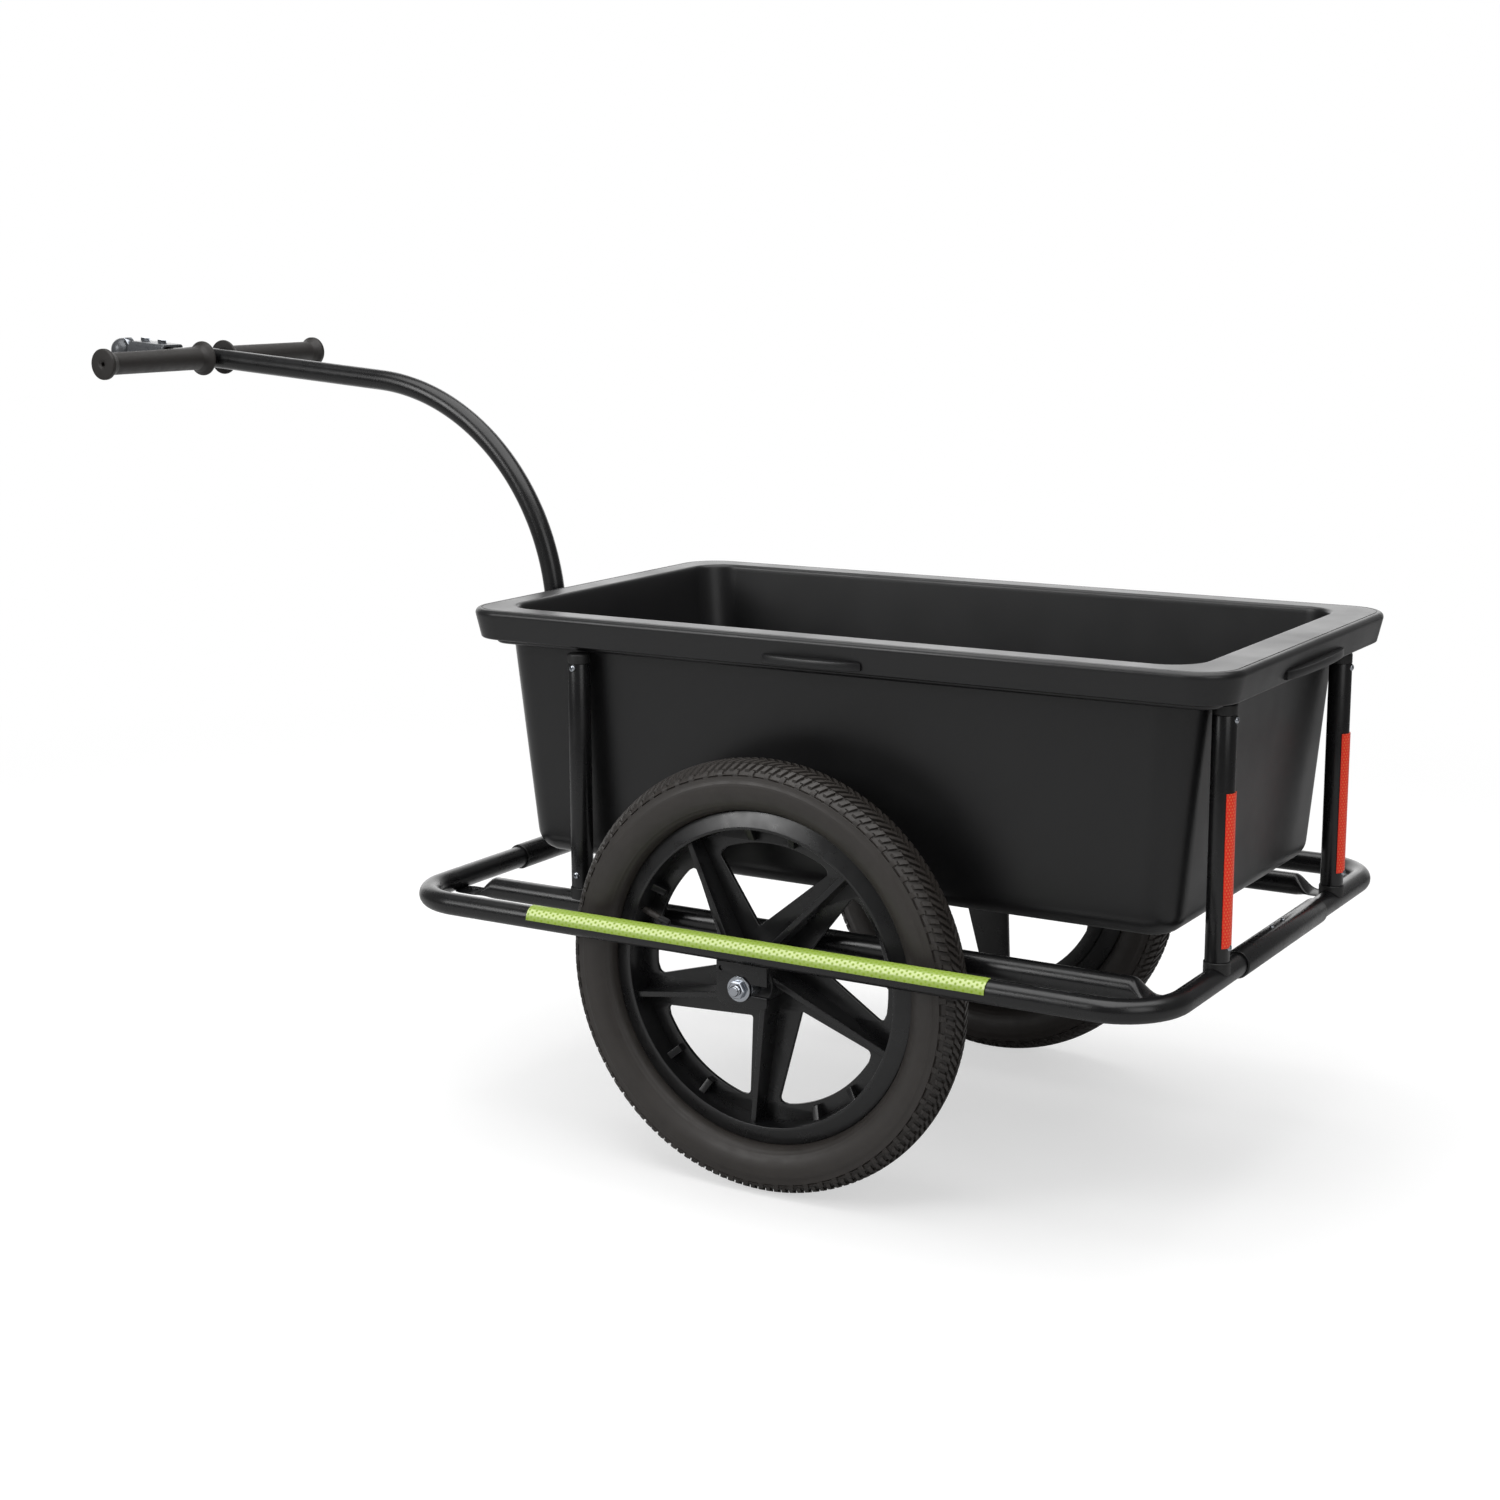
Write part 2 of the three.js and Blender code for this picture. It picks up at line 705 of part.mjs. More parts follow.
// One window of the web: a point near the hub and an arc along the rim, with rounded outer corners
function windowOutline(middle) {
  const point = polar(windowPoint, middle + windowPointAngle);
  const corners = [-1, 1].map((way) => polar(windowCornerRadius, middle + way * windowCornerAngle));
  const shape = new THREE.Path();
  const arcTrim = THREE.MathUtils.radToDeg(windowFillet / windowArc);
  const sideEnd = (corner) => corner.clone().lerp(point, windowFillet / corner.distanceTo(point));
  const arcStart = polar(windowArc, middle - windowCornerAngle + arcTrim);
  shape.moveTo(point.x, point.y);
  const first = sideEnd(corners[0]);
  shape.lineTo(first.x, first.y);
  shape.quadraticCurveTo(corners[0].x, corners[0].y, arcStart.x, arcStart.y);
  const arcAngle = windowCornerAngle - arcTrim;
  for (let k = 1; k <= windowSteps; k += 1) {
    const next = polar(windowArc, middle - arcAngle + 2 * arcAngle * k / windowSteps);
    shape.lineTo(next.x, next.y);
  }
  const last = sideEnd(corners[1]);
  shape.quadraticCurveTo(corners[1].x, corners[1].y, last.x, last.y);
  shape.lineTo(point.x, point.y);
  return new THREE.Path(shape.getPoints(windowCornerSteps));
}

function webPlate() {
  const outer = (barrelRadius + wellRadius) / 2;
  const shape = new THREE.Shape(circle(outer, wheelSides));
  for (let k = 0; k < windowCount; k += 1) {
    shape.holes.push(windowOutline(windowStart + 360 * k / windowCount));
  }
  shape.holes.push(new THREE.Path(circle((hubRadius + hubBore) / 2)));
  return plateAlongY(shape, webBack, webFront);
}

// Rib drawn along +Z beside the hub and then turned to its place
function rib(degrees) {
  const start = Math.sqrt(hubRadius ** 2 - ribOffset ** 2) - ribThickness;
  const outer = (lipRadius + barrelRadius) / 2 + webThickness / 2;
  const end = Math.sqrt(outer ** 2 - ribOffset ** 2);
  const middle = (webBack + webFront) / 2;
  const hubEdge = Math.sqrt(hubRadius ** 2 - ribOffset ** 2);
  const shape = new THREE.Shape();
  shape.moveTo(middle, start);
  shape.lineTo(ribHubY, start);
  shape.lineTo(ribHubY, hubEdge);
  shape.lineTo(ribRimY, end);
  shape.lineTo(middle, end);
  const geometry = new THREE.ExtrudeGeometry(shape, { depth: ribThickness, bevelEnabled: false });
  geometry.translate(0, 0, -ribThickness / 2);
  geometry.applyMatrix4(new THREE.Matrix4().makeBasis(
    new THREE.Vector3(0, 1, 0), new THREE.Vector3(0, 0, 1), new THREE.Vector3(1, 0, 0)));
  geometry.translate(ribOffset, 0, 0);
  geometry.rotateY(THREE.MathUtils.degToRad(degrees));
  return geometry;
}

function gusset(degrees) {
  const half = gussetWidth / 2;
  const geometry = block(-half, half, (webBack + webFront) / 2, gussetY, gussetInner, gussetOuter);
  geometry.rotateY(THREE.MathUtils.degToRad(degrees));
  return geometry;
}

function wheelRim() {
  const edge = flangeY - flangeThickness;
  const halfBed = [
    [flangeRadius, flangeY],
    [flangeRadius, edge],
    [seatRadius, edge],
    [seatRadius, beadToe],
    [wellRadius, wellHalfWidth],
  ];
  const bed = halfBed.map(([radius, y]) => [radius, -y]).concat(halfBed.slice().reverse());
  const rimRing = turned([
    [barrelRadius, webBack],
    [lipRadius, webBack],
    ...bed,
    [lipRadius, rimHalfWidth],
    [barrelRadius, webFront],
  ], 'y', wheelSides);
  const hub = ring(hubBore, hubRadius, -hubHalf, hubHalf, 'y', hubSides);
  const additions = [hub, webPlate()];
  for (let k = 0; k < windowCount; k += 1) {
    const turn = 360 * k / windowCount;
    additions.push(rib(ribAngle + turn));
    additions.push(gusset(windowStart + turn - gussetAngle));
    additions.push(gusset(windowStart + turn + gussetAngle));
  }
  const valveHole = rod(valveRadius + fit, gussetInner, flangeRadius, 'z', boltSides);
  valveHole.rotateY(THREE.MathUtils.degToRad(valveAngle));
  return cut(join(rimRing, ...additions), valveHole);
}

// Tyre section: shares of its height above the bead and of its half width
const tyreOuterShares = [
  [0.12, 0.36], [0.24, 0.73], [0.46, 1], [0.68, 0.98], [0.87, 0.79], [0.97, 0.4],
];
const tyreInnerShares = [
  [0.1, 0.1], [0.27, 0.64], [0.52, 1], [0.8, 0.86], [0.97, 0.42],
];

function tyre() {
  const height = wheelRadius - beadRadius;
  const innerHeight = height - treadThickness;
  const innerHalf = tyreHalfWidth - sidewallThickness;
  const beadHeel = flangeY - flangeThickness - fit;
  const outerHalf = [
    [beadRadius, beadHeel],
    [flangeRadius + fit, beadHeel],
    ...tyreOuterShares.map(([up, out]) => [beadRadius + height * up, tyreHalfWidth * out]),
  ];
  const innerSide = [
    [beadRadius, beadToe],
    ...tyreInnerShares.map(([up, out]) => [
      beadRadius + innerHeight * up, beadToe + (innerHalf - beadToe) * out]),
  ];
  const mirrored = (points) => points.map(([radius, y]) => [radius, -y]).reverse();
  return turned([
    ...outerHalf,
    [wheelRadius, 0],
    ...mirrored(outerHalf),
    ...innerSide.map(([radius, y]) => [radius, -y]),
    [beadRadius + innerHeight, 0],
    ...innerSide.slice().reverse(),
  ], 'y', wheelSides);
}

// Inner tube: a thin ring with its valve, whose bore opens the hollow
function innerTube() {
  const top = wheelRadius - treadThickness - 2 * fit;
  const middle = (top + innerTubeLow) / 2;
  const halfHeight = (top - innerTubeLow) / 2;
  const halfWidth = tyreHalfWidth - sidewallThickness - flangeThickness;
  const wallRing = (inset) => {
    const profile = circle(1, softRingSides).map((point) => [
      middle + (halfHeight - inset) * point.x, (halfWidth - inset) * point.y]);
    return turned(profile, 'y', innerTubeSides);
  };
  const turnValve = (geometry) => geometry.rotateY(THREE.MathUtils.degToRad(valveAngle));
  const stem = turnValve(rod(valveRadius, valveTip, innerTubeLow + tubeShell / 2, 'z', boltSides));
  const bore = turnValve(rod(valveBore, valveTip - overrun, innerTubeLow + halfHeight / 2, 'z', hexSides));
  return cut(join(wallRing(0), stem), wallRing(tubeShell), bore);
}

// Strips: arcs of film wrapped on a tube
function wrap(lowAngle, highAngle, length) {
  const inner = tubeRadius + fit;
  const outer = inner + stripThickness;
  const points = [];
  for (let k = 0; k <= stripSteps; k += 1) {
    points.push(polar(outer, lowAngle + (highAngle - lowAngle) * k / stripSteps));
  }
  for (let k = stripSteps; k >= 0; k -= 1) {
    points.push(polar(inner, lowAngle + (highAngle - lowAngle) * k / stripSteps));
  }
  return plateAlongZ(new THREE.Shape(points), 0, length);
}

// The lime strip covers the outer and upper side of a rail, from its middle to just past its top
function limeStrip(side) {
  const film = wrap(-limeHighAngle + 90, 90 - limeLowAngle, limeFront - limeRear);
  film.applyMatrix4(new THREE.Matrix4().makeBasis(
    new THREE.Vector3(0, 1, 0), new THREE.Vector3(0, 0, 1), new THREE.Vector3(1, 0, 0)));
  film.translate(limeRear, 0, 0);
  if (side < 0) film.rotateZ(Math.PI).translate(limeFront + limeRear, 0, 0);
  return film.translate(0, side * railY, railZ);
}

function redStrip(post) {
  const film = wrap(-90 - redHalfAngle, -90 + redHalfAngle, redHigh - redLow);
  return film.translate(post.x, post.y, redLow);
}

// Tow bar
const lean = new THREE.Vector3(Math.sin(barAngle), 0, Math.cos(barAngle));
const forward = new THREE.Vector3(Math.cos(barAngle), 0, Math.sin(barAngle));
const barRoot = new THREE.Vector3(frontCrossX, 0, railZ);
const handlePlace = new THREE.Vector3(handleX, 0, handleZ);

// Corner point where the two straight legs of the bar would meet
function barCorner() {
  const across = forward.x * lean.z - forward.z * lean.x;
  const gap = handlePlace.clone().sub(barRoot);
  const rise = (forward.x * gap.z - forward.z * gap.x) / across;
  return barRoot.clone().addScaledVector(lean, rise);
}

function atHandle(s, t) {
  return handlePlace.clone().addScaledVector(forward, s).addScaledVector(
    new THREE.Vector3(-forward.z, 0, forward.x), t);
}

const pressedWidth = Math.PI * (tubeRadius - pressedHalf) / 2 + pressedHalf;

function towBar() {
  const start = barRoot.clone().addScaledVector(lean, barFoot);
  const line = new BentLine([start, barCorner(), atHandle(pressStart, 0)], barBend, towBendSteps);
  for (const s of [pressEnd, barTip]) line.addStop(atHandle(s, 0), forward);
  const bar = tubeAlong(line, tubeRadius, tubeWall);
  pressBar(bar);
  const sideHole = rod(crossBoltShank + fit, -tubeRadius - overrun, tubeRadius + overrun, 'y', boltSides);
  sideHole.translate(0, 0, socketBoltRise).rotateY(barAngle).translate(frontCrossX, 0, railZ);
  return cut(bar, sideHole, ...couplingHoles());
}

// Presses the front end of the bar to an oval
function pressBar(geometry) {
  const place = geometry.attributes.position;
  const point = new THREE.Vector3();
  const up = new THREE.Vector3(-forward.z, 0, forward.x);
  for (let k = 0; k < place.count; k += 1) {
    point.fromBufferAttribute(place, k).sub(handlePlace);
    const s = point.dot(forward);
    if (s < pressEnd - overrun) continue;
    const t = point.dot(up) * pressedHalf / tubeRadius;
    const y = point.y * pressedWidth / tubeRadius;
    const moved = atHandle(s, t);
    place.setXYZ(k, moved.x, y, moved.z);
  }
}

function couplingHoles() {
  return couplingBolts.map((s) => {
    const reach = tubeRadius + overrun;
    const hole = rod(smallBoltShank + fit, -reach, reach, 'z', boltSides);
    const place = atHandle(s, 0);
    return hole.rotateY(-barAngle).translate(place.x, place.y, place.z);
  });
}

function towBarSocket() {
  const body = ring(tubeRadius + fit, tubeRadius + fit + socketWall, 0, socketHeight, 'z');
  const hole = rod(crossBoltShank + fit, -tubeRadius - socketWall - overrun,
    tubeRadius + socketWall + overrun, 'y', boltSides).translate(0, 0, socketBoltRise);
  const drilled = cut(body, hole).rotateY(barAngle);
  const saddle = rod(sleeveRadius + fit, -frontSleeveHalf, frontSleeveHalf, 'y');
  return cut(drilled, saddle).translate(frontCrossX, 0, railZ);
}

const boltSeat = tubeRadius + fit + socketWall + fit;

function placeInSocket(geometry) {
  return geometry.translate(0, 0, socketBoltRise).rotateY(barAngle).translate(frontCrossX, 0, railZ);
}

function towBarBolt() {
  const length = 2 * boltSeat + fit + crossBoltHeadHeight + crossBoltTail;
  const bolt = hexBolt(crossBoltShank, crossBoltHead, crossBoltHeadHeight, length, 'y');
  return placeInSocket(bolt.translate(0, -boltSeat, 0));
}

function towBarNut() {
  const nut = hexNut(crossBoltHead, crossBoltShank + fit, boltSeat, boltSeat + crossBoltHeadHeight, 'y');
  return placeInSocket(nut);
}

// Handle: two stub tubes whose inner ends follow the bar, with a rubber grip on each
function handleTube(side) {
  const body = ring(handleRadius - tubeWall, handleRadius, 0, handleEnd, 'y');
  if (side < 0) body.rotateZ(Math.PI);
  const reach = 2 * tubeRadius;
  const bar = rod(tubeRadius + fit, -reach, reach, 'x').rotateY(-barAngle);
  return cut(body, bar).translate(handleX, 0, handleZ);
}

function grip(side) {
  const bore = handleRadius + fit;
  const faceStart = gripOuterY - gripFlange;
  const [innerFlankShare, outerFlankShare] = gripFlankShares;
  const profile = [
    [bore, gripInnerY],
    [gripInnerFlange - gripRimEdge, gripInnerY],
    [gripInnerFlange, gripInnerY + gripRimEdge],
    [(gripInnerFlange + gripRadius) / 2, gripInnerY + gripFlange * innerFlankShare],
    [gripRadius, gripInnerY + 2 * gripFlange],
    [gripEndRadius, faceStart - gripFlange],
    [gripOuterFlange, faceStart + gripFlange * outerFlankShare],
    [gripOuterFlange, gripOuterY - gripRimEdge],
    [gripOuterFlange - gripRimEdge, gripOuterY],
    [gripHole, gripOuterY - gripRimEdge],
    [gripHole, handleEnd + fit],
    [bore, handleEnd + fit],
  ];
  const body = turned(profile, 'y', tubeSides);
  if (side < 0) body.rotateZ(Math.PI);
  return body.translate(handleX, 0, handleZ);
}

// Coupling, drawn level and then set on the front end of the bar
const nose = new THREE.Group();
nose.position.copy(handlePlace);
nose.rotation.y = -barAngle;
assembly.add(nose);
const plateInnerHalf = pressedWidth + fit;
const plateTop = pressedHalf + fit + plateWall;
const armTop = -pressedHalf - fit;

// Folded plate over the end of the bar
function couplingPlate() {
  const outerHalf = plateInnerHalf + plateWall;
  const side = new THREE.Shape();
  side.moveTo(plateStart, -plateSkirt);
  side.lineTo(plateEnd, -plateSkirt);
  side.lineTo(plateEnd, plateTop - plateNose);
  side.quadraticCurveTo(plateEnd, plateTop, plateEnd - plateNose, plateTop);
  side.lineTo(plateStart + plateNose / 2, plateTop);
  side.lineTo(plateStart, plateTop - plateNose);
  const body = plateAlongY(new THREE.Shape(side.getPoints(plateCornerSteps)), -outerHalf, outerHalf);
  const inner = block(plateStart - overrun, plateEnd + overrun, -plateInnerHalf, plateInnerHalf,
    -plateSkirt - overrun, pressedHalf + fit);
  const hole = rod(smallBoltShank + fit, 0, plateTop + overrun, 'z', boltSides);
  const holes = couplingBolts.map((s) => hole.clone().translate(s, 0, 0));
  return cut(body, inner, ...holes);
}

function couplingBolt(s) {
  const seat = plateTop + fit;
  const nutLow = armTop - armThickness - fit - smallBoltHeadHeight;
  const length = seat - nutLow + smallBoltShank;
  const bolt = hexBolt(smallBoltShank, smallBoltHead, smallBoltHeadHeight, length, 'z');
  return bolt.rotateX(Math.PI).translate(s, 0, seat);
}

// Ball cup with the strap that bolts it under the bar, and two lugs for the latch
function couplingHead() {
  const domePoints = (radius) => {
    const points = [];
    for (let k = 0; k < domeSteps; k += 1) {
      const angle = quarterTurn * k / domeSteps;
      points.push([radius * Math.cos(angle), headRise + radius * Math.sin(angle)]);
    }
    points.push([0, headRise + radius]);
    return points;
  };
  const hollow = headRadius - headWall;
  const low = headBase - overrun;
  const dome = turned([[0, headBase], [headRadius, headBase], ...domePoints(headRadius)], 'z');
  const ball = turned([[0, low], [hollow, low], ...domePoints(hollow)], 'z');
  const strap = block(armStart, headAt - hollow, -armHalfWidth, armHalfWidth, headBase, armTop);
  const lugInner = latchHalfWidth + fit;
  const pinZ = -latchPinDrop;
  const lugs = [-1, 1].map((side) => block(
    latchPinAt - lugHalfLength, latchPinAt + lugHalfLength,
    Math.min(side * lugInner, side * (lugInner + lugThickness)),
    Math.max(side * lugInner, side * (lugInner + lugThickness)),
    pinZ - lugHalfLength, (headBase + armTop) / 2));
  const slotRear = latchPinAt - latchBoss - latchBand;
  const cupWall = headAt - hollow;
  const slot = block(slotRear, cupWall + slotCut, -lugInner, lugInner, low, armTop + overrun);
  const windowHalf = fingerHalfWidth + 2 * fit;
  const window = block(
    headAt - headRadius - overrun, cupWall + 2 * slotCut, -windowHalf, windowHalf, low, headRise);
  const pinHole = rod(latchPinRadius + fit, -armHalfWidth, armHalfWidth, 'y', boltSides)
    .translate(latchPinAt, 0, pinZ);
  const hole = rod(smallBoltShank + fit, low, 0, 'z', boltSides);
  const holes = couplingBolts.map((s) => hole.clone().translate(s, 0, 0));
  const solid = join(dome.translate(headAt, 0, 0), strap, ...lugs);
  return cut(solid, ball.translate(headAt, 0, 0), slot, window, pinHole, ...holes);
}

// Latch: a sprung lever that hugs the dome and whose finger locks under the ball
function latchLever() {
  const inner = headRadius + latchGap;
  const outer = inner + latchBand;
  const onBand = (radius, degrees) => {
    const angle = THREE.MathUtils.degToRad(degrees);
    return new THREE.Vector2(headAt - radius * Math.cos(angle), headRise + radius * Math.sin(angle));
  };
  const points = [];
  const sweep = latchTopAngle - latchLowAngle;
  for (let k = 0; k <= latchSteps; k += 1) {
    points.push(onBand(inner, latchLowAngle + sweep * k / latchSteps));
  }
  for (let k = latchSteps; k >= 0; k -= 1) {
    points.push(onBand(outer, latchLowAngle + sweep * k / latchSteps));
  }
  const band = plateAlongY(new THREE.Shape(points), -latchHalfWidth, latchHalfWidth);
  const foot = onBand(inner, latchLowAngle);
  const heel = onBand(outer, latchLowAngle / 2);
  const pinZ = -latchPinDrop;
  const [rearShare, frontShare] = heelShares;
  const web = new THREE.Shape([
    new THREE.Vector2(latchPinAt - latchBoss * rearShare, pinZ),
    new THREE.Vector2(latchPinAt + latchBoss * frontShare, pinZ),
    foot,
    heel,
  ]);
  const shank = plateAlongY(web, -latchBossHalfWidth, latchBossHalfWidth);
  const boss = rod(latchBoss, -latchBossHalfWidth, latchBossHalfWidth, 'y').translate(latchPinAt, 0, pinZ);
  const fingerLow = pinZ + latchBoss - fingerThickness / 2;
  const finger = block(latchPinAt + latchBoss / 2, foot.x + fingerReach, -fingerHalfWidth, fingerHalfWidth,
    fingerLow, fingerLow + fingerThickness);
  const hole = rod(latchPinRadius + fit, -latchHalfWidth, latchHalfWidth, 'y', boltSides)
    .translate(latchPinAt, 0, pinZ);
  return cut(join(band, shank, boss, finger), hole);
}

function latchPin() {
  const end = latchHalfWidth + fit + lugThickness + fit;
  const profile = [
    [0, -end - latchPinHeadWidth], [latchPinHead, -end - latchPinHeadWidth], [latchPinHead, -end],
    [latchPinRadius, -end], [latchPinRadius, end], [latchPinHead, end],
    [latchPinHead, end + latchPinHeadWidth], [0, end + latchPinHeadWidth],
  ];
  return turned(profile, 'y', boltSides).translate(latchPinAt, 0, -latchPinDrop);
}

// Helix of the torsion spring around the pin, beside the lever's boss
class SpringLine extends THREE.Curve {
  getPoint(share, target = new THREE.Vector3()) {
    const radius = latchPinRadius + fit + springWire;
    const pitch = 2 * springWire + springGap;
    const low = latchBossHalfWidth + fit + springWire;
    const angle = 2 * Math.PI * springTurns * share;
    return target.set(
      latchPinAt + radius * Math.cos(angle),
      low + pitch * springTurns * share,
      -latchPinDrop + radius * Math.sin(angle));
  }
}

// Tub: rounded rectangles, one above another, that run up the outside, over the rim and down inside
function grown(outline, by) {
  return {
    front: outline.front + by,
    rear: outline.rear - by,
    half: outline.half + by,
    corner: Math.max(outline.corner + by, tubWall),
  };
}

function mixed(low, high, share) {
  const blend = (key) => low[key] + (high[key] - low[key]) * share;
  return { front: blend('front'), rear: blend('rear'), half: blend('half'), corner: blend('corner') };
}

function outlineRing(outline, z) {
  const { front, rear, half, corner } = outline;
  const middles = [
    [front - corner, half - corner], [rear + corner, half - corner],
    [rear + corner, corner - half], [front - corner, corner - half],
  ];
  const points = [];
  middles.forEach(([x, y], quarter) => {
    for (let k = 0; k <= cornerSteps; k += 1) {
      const angle = quarterTurn * (quarter + k / cornerSteps);
      points.push(new THREE.Vector3(x + corner * Math.cos(angle), y + corner * Math.sin(angle), z));
    }
  });
  return points;
}

function tubShell() {
  const postsTop = postTop + fit + capHeight + fit;
  const wallTop = grown(mouthOutline, tubWall);
  const outerAt = (z) => mixed(floorOutline, wallTop, (z - tubFloor) / (postsTop - tubFloor));
  const innerFloor = tubFloor + tubWall;
  const innerLow = grown(floorOutline, -tubWall);
  const innerAt = (z) => mixed(innerLow, mouthOutline, (z - innerFloor) / (rimTop - innerFloor));
  const rings = [];
  const station = (outline, z) => rings.push(outlineRing(outline, z));
  for (let k = 0; k <= filletSteps; k += 1) {
    const angle = quarterTurn * k / filletSteps;
    const z = tubFloor + floorFillet * (1 - Math.cos(angle));
    station(grown(outerAt(z), -floorFillet * (1 - Math.sin(angle))), z);
  }
  const ceiling = rimTop - rimInnerEdge;
  station(outerAt(postsTop), postsTop);
  station(grown(rimOutline, -stepInset), postsTop);
  station(grown(rimOutline, -stepInset), ceiling);
  station(grown(rimOutline, -skirtWall), ceiling);
  station(grown(rimOutline, -skirtWall - rimLean), rimLow);
  station(grown(rimOutline, -rimLean - rimShoulder / 2), rimLow);
  station(grown(rimOutline, -rimLean), rimLow + rimShoulder / 2);
  station(rimOutline, rimTop - rimEdge);
  station(grown(rimOutline, -rimShoulder), rimTop - rimShoulder);
  station(grown(rimOutline, -rimEdge), rimTop);
  station(grown(mouthOutline, rimInnerEdge), rimTop);
  station(grown(mouthOutline, rimInnerEdge * edgeShare), rimTop - rimInnerEdge * edgeShare);
  station(mouthOutline, rimTop - rimInnerEdge);
  const innerFillet = floorFillet - tubWall;
  for (let k = filletSteps; k >= 0; k -= 1) {
    const angle = quarterTurn * k / filletSteps;
    const z = innerFloor + innerFillet * (1 - Math.cos(angle));
    station(grown(innerAt(z), -innerFillet * (1 - Math.sin(angle))), z);
  }
  return skin(rings);
}

// Crescent hand-hold, drawn with its straight side on the rim's face and its belly towards +Y
function ledge(length) {
  const points = [new THREE.Vector2(length / 2, -ledgeRoot), new THREE.Vector2(-length / 2, -ledgeRoot)];
  for (let k = 0; k <= ledgeSteps; k += 1) {
    const share = 2 * k / ledgeSteps - 1;
    const belly = Math.sqrt(1 - ledgeRoundShare * share ** 2);
    points.push(new THREE.Vector2(share * length / 2, ledgeReach * belly));
  }
  return plateAlongZ(new THREE.Shape(points.reverse()), ledgeTop - ledgeThickness, ledgeTop);
}

function tub() {
  const x = (rimOutline.front + rimOutline.rear) / 2;
  const faceY = rimOutline.half - ledgeFaceInset;
  const left = ledge(sideLedge).translate(x, faceY, 0);
  const right = ledge(sideLedge).rotateZ(Math.PI).translate(x, -faceY, 0);
  const rear = ledge(rearLedge).rotateZ(quarterTurn).translate(rimOutline.rear + ledgeFaceInset, 0, 0);
  const front = ledge(rearLedge).rotateZ(-quarterTurn).translate(rimOutline.front - ledgeFaceInset, 0, 0);
  return join(tubShell(), left, right, rear, front);
}

// Assembly of the frame
for (const [name, side] of [['left', 1], ['right', -1]]) {
  addPiece(`${name}_side_frame`, sideFrame(side), blackPaint);
  addPiece(`${name}_inner_rail`, innerRail(side), blackPaint);
  addPiece(`${name}_outer_bracket`, bracket(side * railY, bracketTop), blackPaint);
  addPiece(`${name}_inner_bracket`, bracket(side * innerRailY, innerBracketTop), blackPaint);
  addPiece(`${name}_lime_strip`, limeStrip(side), limeFilm);
  addPiece(`${name}_red_strip`, redStrip(posts[`rear_${name}`]), redFilm);
  addPiece(`${name}_handle_tube`, handleTube(side), blackPaint);
  addPiece(`${name}_grip`, grip(side), gripRubber);
}
addPiece('front_sleeve', sleeve(frontCrossX, frontSleeveHalf), blackPaint);
addPiece('rear_sleeve', sleeve(rearCrossX, rearSleeveHalf), blackPaint);
for (const [name, post] of Object.entries(posts)) {
  addPiece(`${name}_post`, postTube(post), blackPaint);
  addPiece(`${name}_foot`, postFoot(post), blackPlastic);
  addPiece(`${name}_cap`, postCap(post), blackPlastic);
}

// Assembly of the running gear
for (const [name, turn] of [['left', 0], ['right', Math.PI]]) {
  const gear = new THREE.Group();
  gear.rotation.z = turn;
  gear.position.z = axleZ;
  assembly.add(gear);
  addPiece(`${name}_axle`, axle(), zincSteel, gear);
  addPiece(`${name}_axle_sleeve`, axleSleeve(), zincSteel, gear);
  addPiece(`${name}_outer_nut`, axleNut(outerNutY), zincSteel, gear);
  addPiece(`${name}_inner_nut`, axleNut(innerNutY), zincSteel, gear);
  addPiece(`${name}_washer`, axleWasher(), zincSteel, gear);
  const wheel = new THREE.Group();
  wheel.position.y = wheelY;
  gear.add(wheel);
  addPiece(`${name}_wheel_rim`, wheelRim(), wheelPlastic, wheel);
  addPiece(`${name}_hub_bush`, hubBush(), bushPlastic, wheel);
  addPiece(`${name}_tyre`, tyre(), tyreRubber, wheel);
  addPiece(`${name}_inner_tube`, innerTube(), tyreRubber, wheel);
}

// Assembly of the tow bar and the coupling
addPiece('tow_bar', towBar(), blackPaint);
addPiece('tow_bar_socket', towBarSocket(), blackPaint);
addPiece('tow_bar_bolt', towBarBolt(), zincSteel);
addPiece('tow_bar_nut', towBarNut(), zincSteel);
addPiece('coupling_plate', couplingPlate(), greyPaint, nose);
addPiece('coupling_head', couplingHead(), greyPaint, nose);
addPiece('rear_coupling_bolt', couplingBolt(couplingBolts[0]), zincSteel, nose);
addPiece('front_coupling_bolt', couplingBolt(couplingBolts[1]), zincSteel, nose);
addPiece('latch_lever', latchLever(), zincSteel, nose);
addPiece('latch_pin', latchPin(), zincSteel, nose);
const springSteps = springTurnSteps * springTurns;
addPiece('latch_spring', new THREE.ExtrudeGeometry(new THREE.Shape(circle(springWire, hexSides)), {
  steps: springSteps, bevelEnabled: false, extrudePath: new SpringLine(),
}), springSteel, nose);

addPiece('tub', tub(), blackPlastic);

export default trailer;
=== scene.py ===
import json
from math import asin, atan2, cos, exp, pi, radians, remainder, sin, sqrt, tan

import bmesh
import bpy
from mathutils import Matrix, Vector


